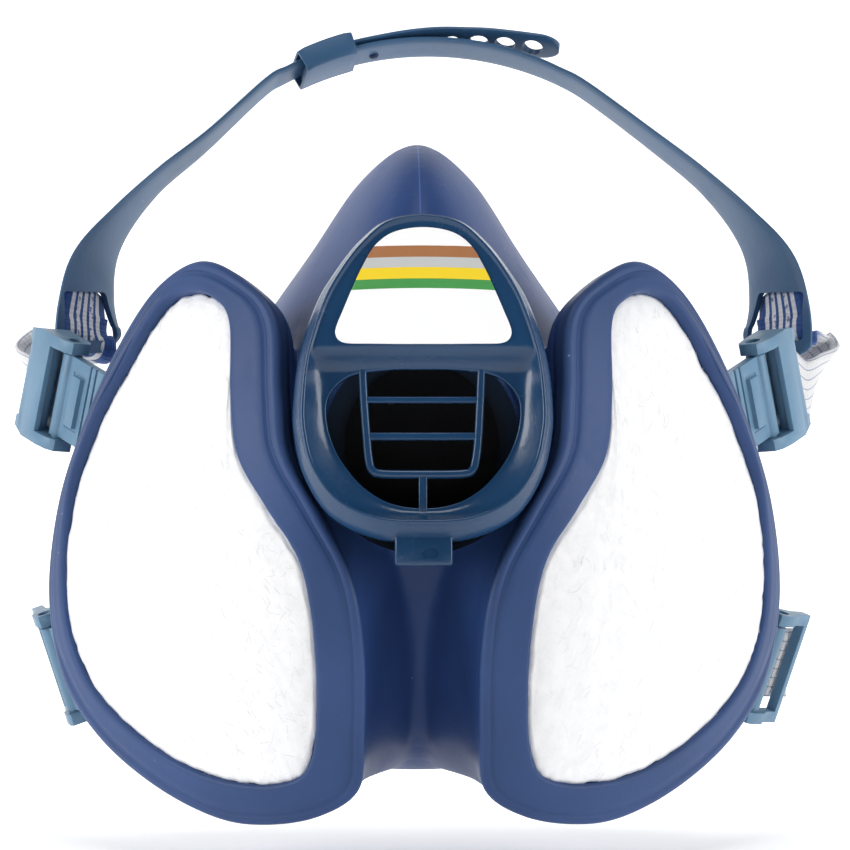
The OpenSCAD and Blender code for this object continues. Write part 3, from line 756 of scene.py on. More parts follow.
class GeometryTree:
    """A Geometry Nodes tree; the sockets of each node take values or other nodes' outputs."""

    def __init__(self, name, inputs, output):
        self.tree = bpy.data.node_groups.new(name, "GeometryNodeTree")
        self.keys = {}
        for label, kind, value in inputs:
            made = self.tree.interface.new_socket(label, in_out="INPUT", socket_type="NodeSocket" + kind)
            if value is not None:
                made.default_value = value
            self.keys[label] = made.identifier
        self.tree.interface.new_socket(output, in_out="OUTPUT", socket_type="NodeSocketGeometry")
        self.ins = self.tree.nodes.new("NodeGroupInput").outputs

    def add(self, kind, sockets, **settings):
        made = self.tree.nodes.new(kind)
        for key, value in settings.items():
            setattr(made, key, value)
        for key, value in sockets.items():
            if isinstance(value, bpy.types.NodeSocket):
                self.tree.links.new(value, made.inputs[key])
            else:
                made.inputs[key].default_value = value
        return made.outputs

    def close(self, instances, material):
        """Makes the instances real, gives them their material and sends them to the output."""
        real = self.add("GeometryNodeRealizeInstances", {"Geometry": instances})
        painted = self.add("GeometryNodeSetMaterial", {"Geometry": real["Geometry"], "Material": material})
        self.add("NodeGroupOutput", {0: painted["Geometry"]})

    def run_on(self, obj, **values):
        """Applies the tree to an object, then removes the tree."""
        made = obj.modifiers.new("nodes", "NODES")
        made.node_group = self.tree
        for label, value in values.items():
            made[self.keys[label]] = value
        apply_modifiers(obj)
        bpy.data.node_groups.remove(self.tree)


def strand_tree(material):
    """Scatters short curved fibres over a surface."""
    tree = GeometryTree("Loose fibres", (("Surface", "Geometry", None), ("Density", "Float", 70000.0),
                                         ("Length", "Float", 0.0016), ("Thickness", "Float", 0.000022),
                                         ("Seed", "Int", 3)), "Fibres")
    ins = tree.ins
    spread = tree.add("GeometryNodeDistributePointsOnFaces",
                      {"Mesh": ins["Surface"], "Density": ins["Density"], "Seed": ins["Seed"]})
    arc = tree.add("GeometryNodeCurveQuadraticBezier",
                   {"Resolution": 4, "Start": (-0.5, 0, -0.06), "Middle": (0, 0.2, 0.12),
                    "End": (0.5, 0, -0.06)})
    ratio = tree.add("ShaderNodeMath", {0: ins["Thickness"], 1: ins["Length"]}, operation="DIVIDE")
    ring = tree.add("GeometryNodeCurvePrimitiveCircle", {"Resolution": 3, "Radius": ratio[0]})
    tube = tree.add("GeometryNodeCurveToMesh",
                    {"Curve": arc["Curve"], "Profile Curve": ring["Curve"], "Fill Caps": True})
    turn = tree.add("FunctionNodeRandomValue",
                    {0: (-0.25, -0.25, -3.14159), 1: (0.25, 0.25, 3.14159), "Seed": ins["Seed"]},
                    data_type="FLOAT_VECTOR")
    euler = tree.add("FunctionNodeEulerToRotation", {0: turn[0]})
    both = tree.add("FunctionNodeRotateRotation", {"Rotation": spread["Rotation"], "Rotate By": euler[0]},
                    rotation_space="LOCAL")
    size = tree.add("FunctionNodeRandomValue", {2: 0.5, 3: 1.3}, data_type="FLOAT")
    long = tree.add("ShaderNodeMath", {0: size[1], 1: ins["Length"]}, operation="MULTIPLY")
    place = tree.add("GeometryNodeInstanceOnPoints", {"Points": spread["Points"], "Instance": tube["Mesh"],
                                                      "Rotation": both[0], "Scale": long[0]})
    tree.close(place["Instances"], material)
    return tree


def loose_fibres(pad, material, density, length, name):
    """A mesh of loose fibres lying on the pad's front."""
    carrier = bpy.data.objects.new(name, pad.data.copy())
    bpy.context.scene.collection.objects.link(carrier)
    work = bmesh.new()
    work.from_mesh(carrier.data)
    back = [f for f in work.faces if f.normal.y > -0.2]
    bmesh.ops.delete(work, geom=back, context="FACES")
    work.to_mesh(carrier.data)
    work.free()
    strand_tree(material).run_on(carrier, Density=density, Length=length, Seed=5)
    return carrier


# ---------------------------------------------------------------- valve cover
CREST_HALF = [(0, 38.4), (6.5, 37.1), (11.2, 33.2), (15.3, 27.8), (18.4, 21.9), (21.3, 12.9), (22.4, 4.6),
              (22.3, -1.8), (20.5, -8.8), (16.0, -15.0), (8.6, -18.5), (0, -19.1)]
FLANGE_HALF = [(0, 39.3), (6.9, 38.1), (12, 34), (16.3, 28.4), (19.7, 22.5), (22.8, 13), (23.9, 4.6),
               (23.8, -2), (21.9, -9.8), (17, -17.2), (8.8, -21.2), (0, -21.8)]
LABEL_HALF = [(0, 36.15), (5.4, 35.25), (8.9, 32.75), (11.2, 28.95), (13.1, 24.85), (14.9, 20.55),
              (16.2, 17.3),
              (16.3, 15.7), (15.5, 14.6), (13.8, 14.15), (10, 14.1), (5, 14.05), (0, 14.05)]


def platform_height(y, t):
    """Front surface of the cover inside its crest."""
    ledge = 6.0 - 3.4 * smooth((13.8 - y) / 4.6) * (1 - (1 - t) ** 6)
    funnel = 6.15 - 3.6 * (1 - (1 - t) ** 1.9)
    return funnel + (ledge - funnel) * smooth((y - 5) / 9)


def build_cover(material):
    flange = closed_curve(both_halves(FLANGE_HALF), 10)
    crest = closed_curve(both_halves(CREST_HALF), 10)
    opening = closed_curve(both_halves(OPENING_HALF), 10)
    centre = np.array([0, 6.0])

    def ring(plan, height):
        height = np.broadcast_to(height, len(plan))
        return np.stack([plan[:, 0], plan[:, 1], height], -1)

    def inset(plan, amount):
        ahead = unit(np.roll(plan, -1, 0) - np.roll(plan, 1, 0))
        normal = np.stack([ahead[:, 1], -ahead[:, 0]], -1)
        inward = np.sign(np.sum(normal * (centre - plan), -1, keepdims=True))
        return plan + normal * inward * amount

    rings = [ring(inset(flange, 0.5), -0.4), ring(flange, 0.0), ring(flange, 1.3),
             ring(inset(flange, 0.12), 1.75)]
    for t in (0.15, 0.35, 0.55, 0.75, 0.92):
        rings.append(ring(flange + (crest - flange) * t, 1.75 + 4.3 * t**0.9))
    rings += [ring(inset(crest, -0.05), 6.2), ring(inset(crest, 0.2), 6.42), ring(inset(crest, 0.45), 6.35)]
    front = []
    lip = inset(crest, 0.6)
    for t in np.r_[np.linspace(0.0, 0.94, 30), 0.97, 1.0]:
        plan = lip + (opening - lip) * t
        height = platform_height(plan[:, 1], t)
        front.append(ring(plan, height - (0.0 if t > 0 else -0.12)))
    rings += front
    edge_height = front[-1][:, 2]
    rings += [ring(inset(opening, 0.22), edge_height + 0.05), ring(inset(opening, 0.4), edge_height - 0.15),
              ring(inset(opening, 0.42), edge_height - 1.3)]
    for level in front[::-3]:
        back = level.copy()
        back[:, 2] -= 1.5
        rings.append(back)
    rings += [ring(inset(flange, 1.5), 1.0), ring(inset(flange, 1.5), -0.4)]
    return loft("exhale_cover_shell", on_cover(np.array(rings)), material, loop=True)


def grille_tree(material):
    """Bars set on points; each point carries its bar's size."""
    tree = GeometryTree("Grille bars", (("Points", "Geometry", None),), "Bars")
    size = tree.add("GeometryNodeInputNamedAttribute", {"Name": "size"}, data_type="FLOAT_VECTOR")
    block = tree.add("GeometryNodeMeshCube", {"Size": (1, 1, 1)})
    points = tree.add("GeometryNodeMeshToPoints", {"Mesh": tree.ins["Points"]})
    place = tree.add("GeometryNodeInstanceOnPoints",
                     {"Points": points["Points"], "Instance": block["Mesh"], "Scale": size[0]})
    tree.close(place["Instances"], material)
    return tree


def build_grille(material):
    """Ladder of bars across the opening, in the cover's frame."""
    bars = [((0, 4.35, 1.9), (22.4, 1.15, 1.5)), ((-0.1, -2.45, 1.9), (21.4, 1.35, 1.5)),
            ((-0.1, -13.0, 1.9), (1.55, 7.4, 1.5))]
    carrier = bpy.data.meshes.new("bars")
    carrier.from_pydata([b[0] for b in bars], [], [])
    carrier.attributes.new("size", "FLOAT_VECTOR", "POINT").data.foreach_set("vector", [v for b in bars
            for v in b[1]])
    obj = bpy.data.objects.new("exhale_cover_grille", carrier)
    bpy.context.scene.collection.objects.link(obj)
    grille_tree(material).run_on(obj)
    for vertex in obj.data.vertices:
        vertex.co = Vector(on_cover(np.array(vertex.co[:])).tolist()) * MM
    bevel(obj, 0.2, 2)
    frame_path = [(-11.2, 10.6), (-10.9, 4), (-10.4, -3), (-10.0, -7), (-9.4, -8.7), (-7.6, -9.4),
                  (0, -9.5), (7.3, -9.4),
                  (9.0, -8.7), (9.6, -7), (10.1, -3), (10.5, 4), (10.8, 10.6)]
    path = open_curve([(x, y, 1.9) for x, y in frame_path], 5)
    square = np.array([(-0.5, -0.3), (-0.5, 0.3), (-0.3, 0.5), (0.3, 0.5), (0.5, 0.3), (0.5, -0.3),
                       (0.3, -0.5), (-0.3, -0.5)])
    ahead = unit(np.gradient(path, axis=0))
    sideways = np.cross(ahead, (0, 0, 1.0))
    rings = path[:, None] + sideways[:, None] * square[None, :, :1] * 1.5 + np.array([0, 0,
            1.0]) * square[None, :, 1:] * 1.7
    hoop = loft("hoop", on_cover(rings), material)
    grille = joined([obj, hoop], "exhale_cover_grille")
    grille.data.materials.clear()
    grille.data.materials.append(material)
    grille.data.polygons.foreach_set("material_index", [0] * len(grille.data.polygons))
    return shade(grille, 50)


def build_skirt(material):
    """Ring behind the cover that stands over the valve's seat."""
    a = np.linspace(0, 2 * math.pi, 96, endpoint=False)
    deep = -72.8 + 3.7 * smooth((-np.sin(a) * 20.2 - 5) / 2)
    rings = []
    for r, y in ((19.45, None), (19.45, -79.4), (20.85, -79.4), (20.85, None)):
        level = deep if y is None else y + 0.16 * np.sin(a) * r
        rings.append(np.stack([np.cos(a) * r, level, np.sin(a) * r - 3], -1))
    return shade(loft("exhale_cover_skirt", np.array(rings), material, loop=True), 40)


def build_tab(material):
    """Thumb tab under the cover, with its half-round nail mark."""
    lug = box_object((-5.3, -26.3, 0.2), (5.3, -20.4, 2.4), material)
    bevel(lug, 0.45, 3)
    for vertex in lug.data.vertices:
        x, y, z = (c / MM for c in vertex.co)
        vertex.co = Vector((x, y, z + 0.06 * (y + 26.3))) * MM
    nail = tube_object(1.5, 2.35, 3.2, material, lambda p: p + (1.2, -24.2, 0), 24, (1.0, 0.62))
    boolean(lug, nail)
    for vertex in lug.data.vertices:
        vertex.co = Vector(on_cover(np.array(vertex.co[:]) / MM).tolist()) * MM
    return shade(lug, 30)


def build_label(material):
    outline = closed_curve(both_halves(LABEL_HALF), 6)
    centre = np.array([0, 23.2])
    rings = [np.column_stack([centre + (outline - centre) * t, np.full(len(outline), h)])
             for t, h in ((0.05, 6.36), (0.6, 6.36), (0.97, 6.36), (0.988, 6.3), (0.99, 6.06), (0.6, 6.06),
                          (0.05, 6.06))]
    return loft("label_plate", on_cover(np.array(rings)), material)


# ---------------------------------------------------------------- lugs and buckles
def build_lug(kind, side, material):
    """Flat lug with its knuckle and pin; the upper one has two flex grooves and a latch pad."""
    if kind == "upper":
        hinge, reach, half = UPPER_HINGE, 17.0, 8.2
    else:
        hinge, reach, half = LOWER_HINGE, 13.0, 8.7
    place = on_hinge(hinge, 1)
    plate = box_object((-reach, -1.0, -half), (0, 1.0, half), material)
    if kind == "upper":
        for x in (-12.5, -10.3):
            boolean(plate, box_object((x, -1.6, -10), (x + 0.75, -0.45, 10), material))
        boolean(plate, box_object((-8.3, -1.6, -5.6), (-3.3, -0.8, 5.6), material))
        boolean(plate, box_object((-7.6, -1.75, -5), (-4.0, -0.5, 5), material), "UNION")
    else:
        boolean(plate, box_object((-7.5, -1.6, -6.2), (-4.4, -0.5, 6.2), material))
    boolean(plate, tube_object(KNUCKLE_RADIUS, -half, half, material, None, 28), "UNION")
    boolean(plate, tube_object(PIN_RADIUS, -half - 2.2, half + 2.2, material, None, 28), "UNION")
    bevel(plate, 0.22, 2)
    settle(plate, place)
    shade(plate, 35)
    return on_side(plate, side)


def settle(obj, place):
    """Moves a mesh from a local frame in millimetres to the shared one."""
    co = np.array([v.co[:] for v in obj.data.vertices]) / MM
    obj.data.vertices.foreach_set("co", (place(co) * MM).ravel())
    obj.data.update()
    point_outwards(obj)
    return obj


def on_side(obj, side):
    """The piece as built for the right, or its mirror image for the left."""
    if side > 0:
        return obj
    other = mirrored_copy(obj)
    remove(obj)
    return other


def tapered_block(sections, material):
    """A block through rectangles given as (x, y low, y high, z low, z high)."""
    rings = [[(x, y0, z0), (x, y1, z0), (x, y1, z1), (x, y0, z1)] for x, y0, y1, z0, z1 in sections]
    obj = loft("block", rings, material)
    obj.data.polygons.foreach_set("use_smooth", [False] * len(obj.data.polygons))
    return obj


def build_upper_buckle(side, material):
    """Box buckle: a hollow block open at both ends, two bars inside and two small feet at its outer end."""
    h = BUCKLE_HEIGHT["upper"] / 2
    room = h - BUCKLE_WALL
    box = tapered_block([(-2.6, -1.9, 1.9, -h, h), (-1.2, -3.0, 2.6, -h, h), (2.0, -3.6, 2.8, -h, h),
                         (8.6, -3.6, 2.8, -h, h),
                         (12.0, -3.1, 2.5, -h + 0.9, h - 0.9)], material)
    boolean(box, box_object((-5, -2.5, -room), (30, 1.9, room), material))
    boolean(box, box_object((-5, -2.5, -room), (2.0, 6, room), material))
    boolean(box, box_object((-5, -6, -room), (3.6, -2.0, room), material))
    boolean(box, tube_object(PIN_HOLE, -h - 3, h + 3, material, None, 32))
    for z in (-h + 0.6, h - 3.6):
        boolean(box, tapered_block([(10.8, -3.3, -0.9, z, z + 3.0), (13.1, -2.9, -1.2, z + 0.4, z + 2.6)],
                                   material), "UNION")
    bevel(box, 0.28, 2)
    bars = [tube_object(r, -h + 1, h - 1, material, lambda p, x=x, y=y: p + (x, y, 0), 20)
            for r, x, y in ((1.1, 9.6, -1.2), (1.3, 6.4, -0.9))]
    buckle = joined([box, *bars], "buckle")
    settle(buckle, on_hinge(UPPER_HINGE, 1))
    shade(buckle, 35)
    return on_side(buckle, side)


def build_lower_buckle(side, material):
    """Thin clip with one slot for the webbing."""
    h = BUCKLE_HEIGHT["lower"] / 2
    room = h - BUCKLE_WALL
    box = tapered_block([(-2.4, -1.9, 1.9, -h, h), (-1.2, -2.4, 2.4, -h, h), (2.4, -2.4, 2.4, -h, h),
                         (5.0, -1.1, 1.1, -h, h),
                         (9.4, -1.1, 1.1, -h, h), (10.0, -0.8, 0.8, -h + 0.5, h - 0.5)], material)
    boolean(box, box_object((-5, -6, -room), (8.2, 6, room), material))
    boolean(box, tube_object(PIN_HOLE, -h - 3, h + 3, material, None, 32))
    bevel(box, 0.3, 2)
    settle(box, on_hinge(LOWER_HINGE, 1, LOWER_SWING[side]))
    shade(box, 35)
    return on_side(box, side)


# ---------------------------------------------------------------- head band
BAND_LEAN = math.radians(33)
BAND_SHIFT = 4.3
ARC_RADIUS = 51.5
BAND_THICK = 1.4
BAND_TILT = 16
BACK_AXIS = np.array([0, math.cos(BAND_LEAN), -math.sin(BAND_LEAN)])
ARC_MID = np.array([BAND_SHIFT, 8.5 + 14.6 * math.sin(BAND_LEAN), 20 + 18.6 * math.cos(BAND_LEAN)])
ARM_TAIL = [(46, 45.8, 45, 12, 10.6), (56, 35.5, 50, 8, 11.4), (64, 24, 63, -5, 13),
            (68.4, 12.5, 78, -26, 16.6),
            (69.4, 2, 89, -38, 18), (69.3, -6.2, 90, -38, 17.6)]


def arch_point(side, dx, h):
    return np.array([BAND_SHIFT + side * dx, 8.5 + max(h - 4, 0) * math.sin(BAND_LEAN),
                     20 + (h * 0.9 if h < 4 else h * math.cos(BAND_LEAN))])


def arch_out(side, a):
    a = math.radians(a)
    return np.array([side * math.sin(a), math.cos(a) * math.sin(BAND_LEAN),
                     math.cos(a) * math.cos(BAND_LEAN)])


def arc_at(side, a, extra=0.0):
    return ARC_MID + arch_out(side, a) * (ARC_RADIUS + extra)


def cone_dir(side, a, lean):
    lean = math.radians(lean)
    return BACK_AXIS * math.cos(lean) + arch_out(side, a) * math.sin(lean)


def arc_frame(side, a):
    """Axes on the band at an angle: along the arc, across the band, out of the band."""
    across = cone_dir(side, a, BAND_TILT)
    along = unit(np.cross(across, arch_out(side, a)))
    return along, across, np.cross(along, across)


def build_arm(side, angles, name, material):
    centres = [arc_at(side, a) for a in angles] + [arch_point(side, k[0], k[1]) for k in ARM_TAIL]
    dirs = [cone_dir(side, a, BAND_TILT if a < 36 else BAND_TILT - (a - 36) * 0.5)
            for a in angles] + [cone_dir(side, k[2], k[3]) for k in ARM_TAIL]
    widths = [10 if a < 36 else 10 + (a - 36) * 0.1 for a in angles] + [k[4] for k in ARM_TAIL]
    c, w = open_curve(centres, 8), open_curve(dirs, 8)
    width = open_curve([(v, 0) for v in widths], 8)[:, 0]
    ends = np.linspace(0, 1, len(c))
    width = width * (1 - 0.32 * smooth((ends - 0.965) / 0.035) ** 2)
    return ribbon(name, c, w, width, BAND_THICK, material, section(17, 3), 0.35)


def window_block(side, material):
    """The cutter for an arm's window, which the webbing passes through."""
    low, high = WINDOW_BOX
    centre = arch_point(side, 69.4, 2)

    def place(p):
        return turned(p, 2, side * WINDOW_TURN + 90) + centre
    return bevel(box_object(low, high, material, place), 1.0, 3)


WINDOW_BOX = ((-7.5, -6, -4.8), (7.1, 6, 5.0))
WINDOW_TURN = 38
TAIL_LIFT = [(-28, 6.4), (-23, 5.0), (-18, 4.0), (-13, 3.3), (-8, 2.7), (0, 2.2), (10, 1.9), (18, 1.75)]
TAIL_HOLES = [(-5.2, 1.6, 1.9), (-11.1, 2.05, 2.3), (-16.9, 2.15, 2.5), (-22.8, 2.1, 2.6)]


def tail_lift(a):
    return float(np.interp(a, *zip(*TAIL_LIFT)))


def tail_lean(a):
    return float(np.interp(a, (-10, 10), (4, 16)))


def tail_cutter(a, along_r, across_r, material):
    """An oval through the tail."""
    across = cone_dir(-1, a, tail_lean(a))
    along = unit(np.cross(across, arch_out(-1, a)))
    out = np.cross(along, across)
    centre = arc_at(-1, a, tail_lift(a))
    place = lambda p: centre + p[..., :1] * along + p[..., 1:2] * across + p[..., 2:] * out
    return tube_object(1.0, -4, 4, material, place, 48, (along_r, across_r))


def build_left_arm(material):
    angles = [-28, -23, -18, -13, -8, -2, 4, 10, 18, 26, 34, 40]
    centres = [arc_at(-1, a, tail_lift(a)) for a in angles] + [arch_point(-1, k[0], k[1]) for k in ARM_TAIL]
    dirs = [cone_dir(-1, a, tail_lean(a) if a < 36 else 14) for a in angles] + [cone_dir(-1, k[2], k[3])
            for k in ARM_TAIL]
    widths = [8.3 if a < -5 else 9 if a < 36 else 9.5 for a in angles] + [k[4] for k in ARM_TAIL]
    c, w = open_curve(centres, 10), open_curve(dirs, 10)
    width = open_curve([(v, 0) for v in widths], 10)[:, 0]
    steps = np.concatenate([[0], np.cumsum(np.linalg.norm(np.diff(c, axis=0), axis=1))])
    width = width * np.sqrt(np.clip(1 - np.clip((4.6 - steps) / 4.8, 0, 1) ** 2.2, 0.02, 1))
    width = width * (1 - 0.32 * smooth((steps - steps[-1] + 4) / 4) ** 2)
    arm = ribbon("head_band_left", c, w, width, BAND_THICK, material, section(17, 3), 0.35)
    boolean(arm, window_block(-1, material))
    for hole in TAIL_HOLES:
        boolean(arm, tail_cutter(*hole, material))
    return shade(arm, 38)


def build_right_arm(material):
    arm = build_arm(1, [-30, -24, -16, -8, 0, 8, 16, 24, 32, 40], "head_band_right", material)
    boolean(arm, window_block(1, material))
    return shade(arm, 38)


def build_keeper(material):
    top = 1.5 * BAND_THICK + 0.35

    def level(a, half, low, high, r):
        across = cone_dir(1, a, BAND_TILT)
        radial = arch_out(1, a)
        out = unit(radial - across * np.dot(across, radial))
        m = arc_at(1, a)
        pts = []
        for sx, sz in ((-1, 0), (1, 0), (1, 1), (-1, 1)):
            corner = np.array([sx * (half - r), (low + r) if sz == 0 else (high - r)])
            base = {(-1, 0): 180, (1, 0): 270, (1, 1): 0, (-1, 1): 90}[(sx, sz)]
            for k in (0, 30, 60, 90):
                ang = math.radians(base + k)
                q = corner + r * np.array([math.cos(ang), math.sin(ang)])
                pts.append(m + across * q[0] + out * q[1])
        return pts
    angles = np.linspace(-31, -17.8, 9)
    rings = [level(a, 5.9 - 0.2 * (k in (0, 8)), -BAND_THICK / 2 - 0.7, top + 1.15 - 0.15 * (k in (0, 8)),
                   0.8) for k, a in enumerate(angles)]
    box = loft("band_keeper", rings, material)
    inside = [level(a, 5.1, -BAND_THICK / 2 - 0.02, top + 0.5, 0.4) for a in np.linspace(-35, -14, 9)]
    boolean(box, loft("inside", inside, material))
    bevel(box, 0.15, 2, 40)
    return shade(box, 38)


def build_stud(material):
    along, across, out = arc_frame(-1, 13)
    centre = arc_at(1, -13, -BAND_THICK / 2 - 0.8) + across * 0.8
    place = lambda p: centre + p[..., :1] * along + p[..., 1:2] * across + p[..., 2:] * out
    a = np.linspace(0, 2 * math.pi, 28, endpoint=False)
    rings = [np.stack([np.cos(a) * r, np.sin(a) * r, np.full(28, h)], -1)
             for r, h in ((0.2, 0.0), (0.6, 0.02), (0.85, 0.2), (0.95, 0.5), (0.95, 0.85))]
    return loft("size_stud", place(np.array(rings)), material)


# ---------------------------------------------------------------- webbing
WEB_THICK = 1.2
UPPER_BLEND = (14, 58)
NECK_BLEND = (42, 84)
SEAT_START = 62


def hinge_point(hinge, x, y, swing=0):
    return on_hinge(hinge, 1, swing)(np.array([x, y, 0.0]))


def hinge_up(hinge):
    return on_hinge((np.zeros(3), *hinge[1:]), 1)(np.array([0, 0, 1.0]))


def upper_web_path(side):
    lie = (BAND_THICK + WEB_THICK) / 2 + 0.3
    up = hinge_up(UPPER_HINGE)
    loops = [(76.3, 5.5, 6.2, 0.5), (78.8, 13, 8, 0.6), (79.2, 20, 11.5, 0.8), (76.4, 22.6, 14.8, 1),
             (73.6, 18.2, 15.6, 1)]
    first = [hinge_point(UPPER_HINGE, 8.6, 0.95), hinge_point(UPPER_HINGE, 13.2, 0.95)]
    first += [np.array([k[0] + side * BAND_SHIFT * k[3], k[1], k[2]]) for k in loops]
    seats = [arch_point(side, k[0], k[1]) + (arch_out(side, k[2]) * math.cos(math.radians(k[3]))
                                             - BACK_AXIS * math.sin(math.radians(k[3]))) * lie
             for k in ((69.4, -3.4, 90, -38), (69.4, 2, 89, -38), (69.2, 5.5, 86, -34),
                       (68.8, 10.5, 80, -28))]
    dirs = [up, up, (0.05, 0, 1), (0.25, -0.1, 0.95), (0.6, -0.3, 0.7), (0.72, -0.5, 0.4), (0.66, -0.66, 0.4)]
    points = np.array([(side * p[0], p[1], p[2]) for p in first] + seats)
    dirs = [(side * d[0], d[1], d[2]) for d in dirs] + [-cone_dir(side, *k) for k in ((90, -38), (89, -38),
            (86, -34), (80, -28))]
    return open_curve(points, 10), open_curve(np.array(dirs, float), 10)


def neck_web_path(side):
    up = hinge_up(LOWER_HINGE)
    first = [hinge_point(LOWER_HINGE, x, y, LOWER_SWING[side])
             for x, y in ((7.2, 2.1), (8.8, 2.15), (10.6, 2.4), (12.6, 2.8))]
    rest = [(70.5, 18, -48.5), (62.5, 35, -51), (46, 51, -53), (28, 60.8, -54), (14.5, 62, -54),
            (8.4 if side > 0 else 7.6, 62, -54)]
    c = open_curve(np.array([*first, *rest]), 10)
    w = open_curve(np.array([up] * 4 + [(0.2, 0, 0.98)] + [(0, 0, 1)] * 5, float), 10)
    c[:, 0] *= side
    w[:, 0] *= side
    return c, w


# ---------------------------------------------------------------- clasp behind the neck
NECK_END = np.array([0, 62.0, -54.0])


def build_eye(material):
    block = box_object((-5, -2, -10), (13, 2, 10), material)
    bevel(block, 0.8, 3)
    for low, high in (((-6, -1, -6), (3, 1, 6)), ((-2.6, -4, -6), (1.4, 0, 6)),
                      ((7, -0.8, -7.8), (17, 0.8, 7.8))):
        boolean(block, box_object(low, high, material))
    bevel(block, 0.15, 2, 40)
    settle(block, lambda p: p + NECK_END)
    return shade(block, 35)


def build_hook(material):
    block = box_object((-13, -2, -10), (-5.4, 2, 10), material)
    bevel(block, 0.8, 3)
    boolean(block, box_object((-6, -0.7, -5.6), (2.4, 0.7, 5.6), material), "UNION")
    boolean(block, box_object((-2.2, -1.6, -5.6), (0, -0.4, 5.6), material), "UNION")
    boolean(block, box_object((-17, -0.8, -7.8), (-7, 0.8, 7.8), material))
    bevel(block, 0.15, 2, 40)
    settle(block, lambda p: p + NECK_END)
    return shade(block, 35)


# ---------------------------------------------------------------- settings and operators
def colour_property(name, text, default):
    return bpy.props.FloatVectorProperty(name=name, description=text, subtype="COLOR", size=4, min=0, max=1,
                                         default=default)


def number_property(name, text, **limits):
    return bpy.props.FloatProperty(name=name, description=text, **limits)


class RESPIRATOR_PG_colours(bpy.types.PropertyGroup):
    rubber: colour_property("Rubber", "Colour of the soft facepiece", (0.028, 0.064, 0.195, 1))
    rim: colour_property("Filter rims", "Colour of the filters' moulded rims", (0.032, 0.068, 0.185, 1))
    cover: colour_property("Valve cover", "Colour of the exhalation valve cover", (0.012, 0.05, 0.125, 1))
    buckle: colour_property("Buckles", "Colour of the strap lugs and buckles", (0.125, 0.24, 0.36, 1))
    band: colour_property("Head band", "Colour of the head band's arms", (0.034, 0.098, 0.2, 1))
    web_light: colour_property("Webbing stripe", "Light stripes of the webbing", (0.85, 0.85, 0.86, 1))
    web_dark: colour_property("Webbing ground", "Ground colour of the webbing", (0.03, 0.09, 0.3, 1))


class RESPIRATOR_PG_sizes(bpy.types.PropertyGroup):
    voxel: number_property("Skin detail", "Grid that the facepiece's skin is built on, in millimetres",
                           default=1.0, min=0.7, max=3)
    fibre_density: number_property("Loose fibres", "Loose fibres per square metre of filter pad",
                                   default=260000, min=0)
    fibre_length: number_property("Fibre length", "Length of one loose fibre",
                                  default=0.0026, min=0.0005, max=0.006, unit="LENGTH")
    webbing_width: number_property("Webbing width", "Width of the elastic webbing",
                                   default=0.014, min=0.008, max=0.018, unit="LENGTH")


def colours():
    return bpy.context.scene.respirator_colours


def sizes():
    return bpy.context.scene.respirator_sizes


FINISHES = {}


def finish_for(name):
    """Each material is made once and shared by the pieces that use it."""
    if name not in FINISHES:
        c = colours()
        makers = {
            "soft_blue": lambda: plastic(name, c.rubber, 0.42, marks=0.6, gloss=0.22, seam_highlight=True),
            "rim_blue": lambda: plastic(name, c.rim, 0.46, marks=0.5, gloss=0.24),
            "cover_blue": lambda: plastic(name, c.cover, 0.24, marks=0.3, gloss=0.5),
            # painted shade: the skirt is the cover's blue darkened to near black, standing in for the shade
            # inside the cover
            "cover_painted_shade": lambda: plastic(name, tint(c.cover, 0.06), 0.7, marks=0.0, gloss=0.1),
            "buckle_blue": lambda: plastic(name, c.buckle, 0.4, marks=0.3),
            "band_blue": lambda: plastic(name, c.band, 0.45, marks=0.5),
            "tray_blue": lambda: plastic(name, c.cover, 0.45),
            # painted shade: the valve seats are the cover's blue darkened to a third, for the shade they sit
            # in
            "seat_blue": lambda: plastic(name, tint(c.cover, 0.3), 0.45, marks=0.0, gloss=0.2),
            "flap_silicone": lambda: plastic(name, (0.003, 0.0035, 0.005, 1), 0.6, marks=0.0, gloss=0.12),
            "stud_dark": lambda: plastic(name, (0.015, 0.03, 0.09, 1), 0.5, marks=0.0),
            "pad_white": lambda: fibre_finish(name),
            "fibre_white": lambda: plastic(name, (0.86, 0.86, 0.87, 1), 0.8, marks=0.0),
            "carbon": lambda: granule_finish(name),
            "label": lambda: label_finish(name),
            "webbing": lambda: webbing_finish(name, c.web_light, c.web_dark),
            "webbing_seated": lambda: webbing_finish(name, c.web_light, c.web_dark, lead_in=False),
        }
        FINISHES[name] = makers[name]()
    return FINISHES[name]


def hand_over(obj, body, slot, *nodes):
    """Puts a finished piece on its body in place of the plain nodes it stands for."""
    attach(obj, body)
    if nodes:
        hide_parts(*nodes)


class Builder:
    bl_options = {"REGISTER", "UNDO"}


class RESPIRATOR_OT_facepiece(Builder, bpy.types.Operator):
    """Build the soft facepiece with its filter bowls, valley and ports"""
    bl_idname = "respirator.facepiece"
    bl_label = "Facepiece"

    def execute(self, context):
        body = build_facepiece(finish_for("soft_blue"), sizes().voxel)
        hand_over(body, "facepiece", "soft_blue", "face_shell")
        return {"FINISHED"}


class RESPIRATOR_OT_filters(Builder, bpy.types.Operator):
    """Build the moulded rims and the fibre pads of both filters"""
    bl_idname = "respirator.filters"
    bl_label = "Filters"

    def execute(self, context):
        for word, side in SIDES.items():
            hand_over(build_rim(side, finish_for("rim_blue")), "facepiece", "rim_blue", "filter_rim_" + word)
            pad = build_pad(side, finish_for("pad_white"), "filter_pad_%s_fibre" % word)
            loose = loose_fibres(pad, finish_for("fibre_white"), sizes().fibre_density,
                                 sizes().fibre_length, "filter_pad_%s_strands" % word)
            hand_over(pad, "facepiece", "pad_white", "filter_pad_" + word)
            hand_over(loose, "facepiece", "pad_white")
        return {"FINISHED"}


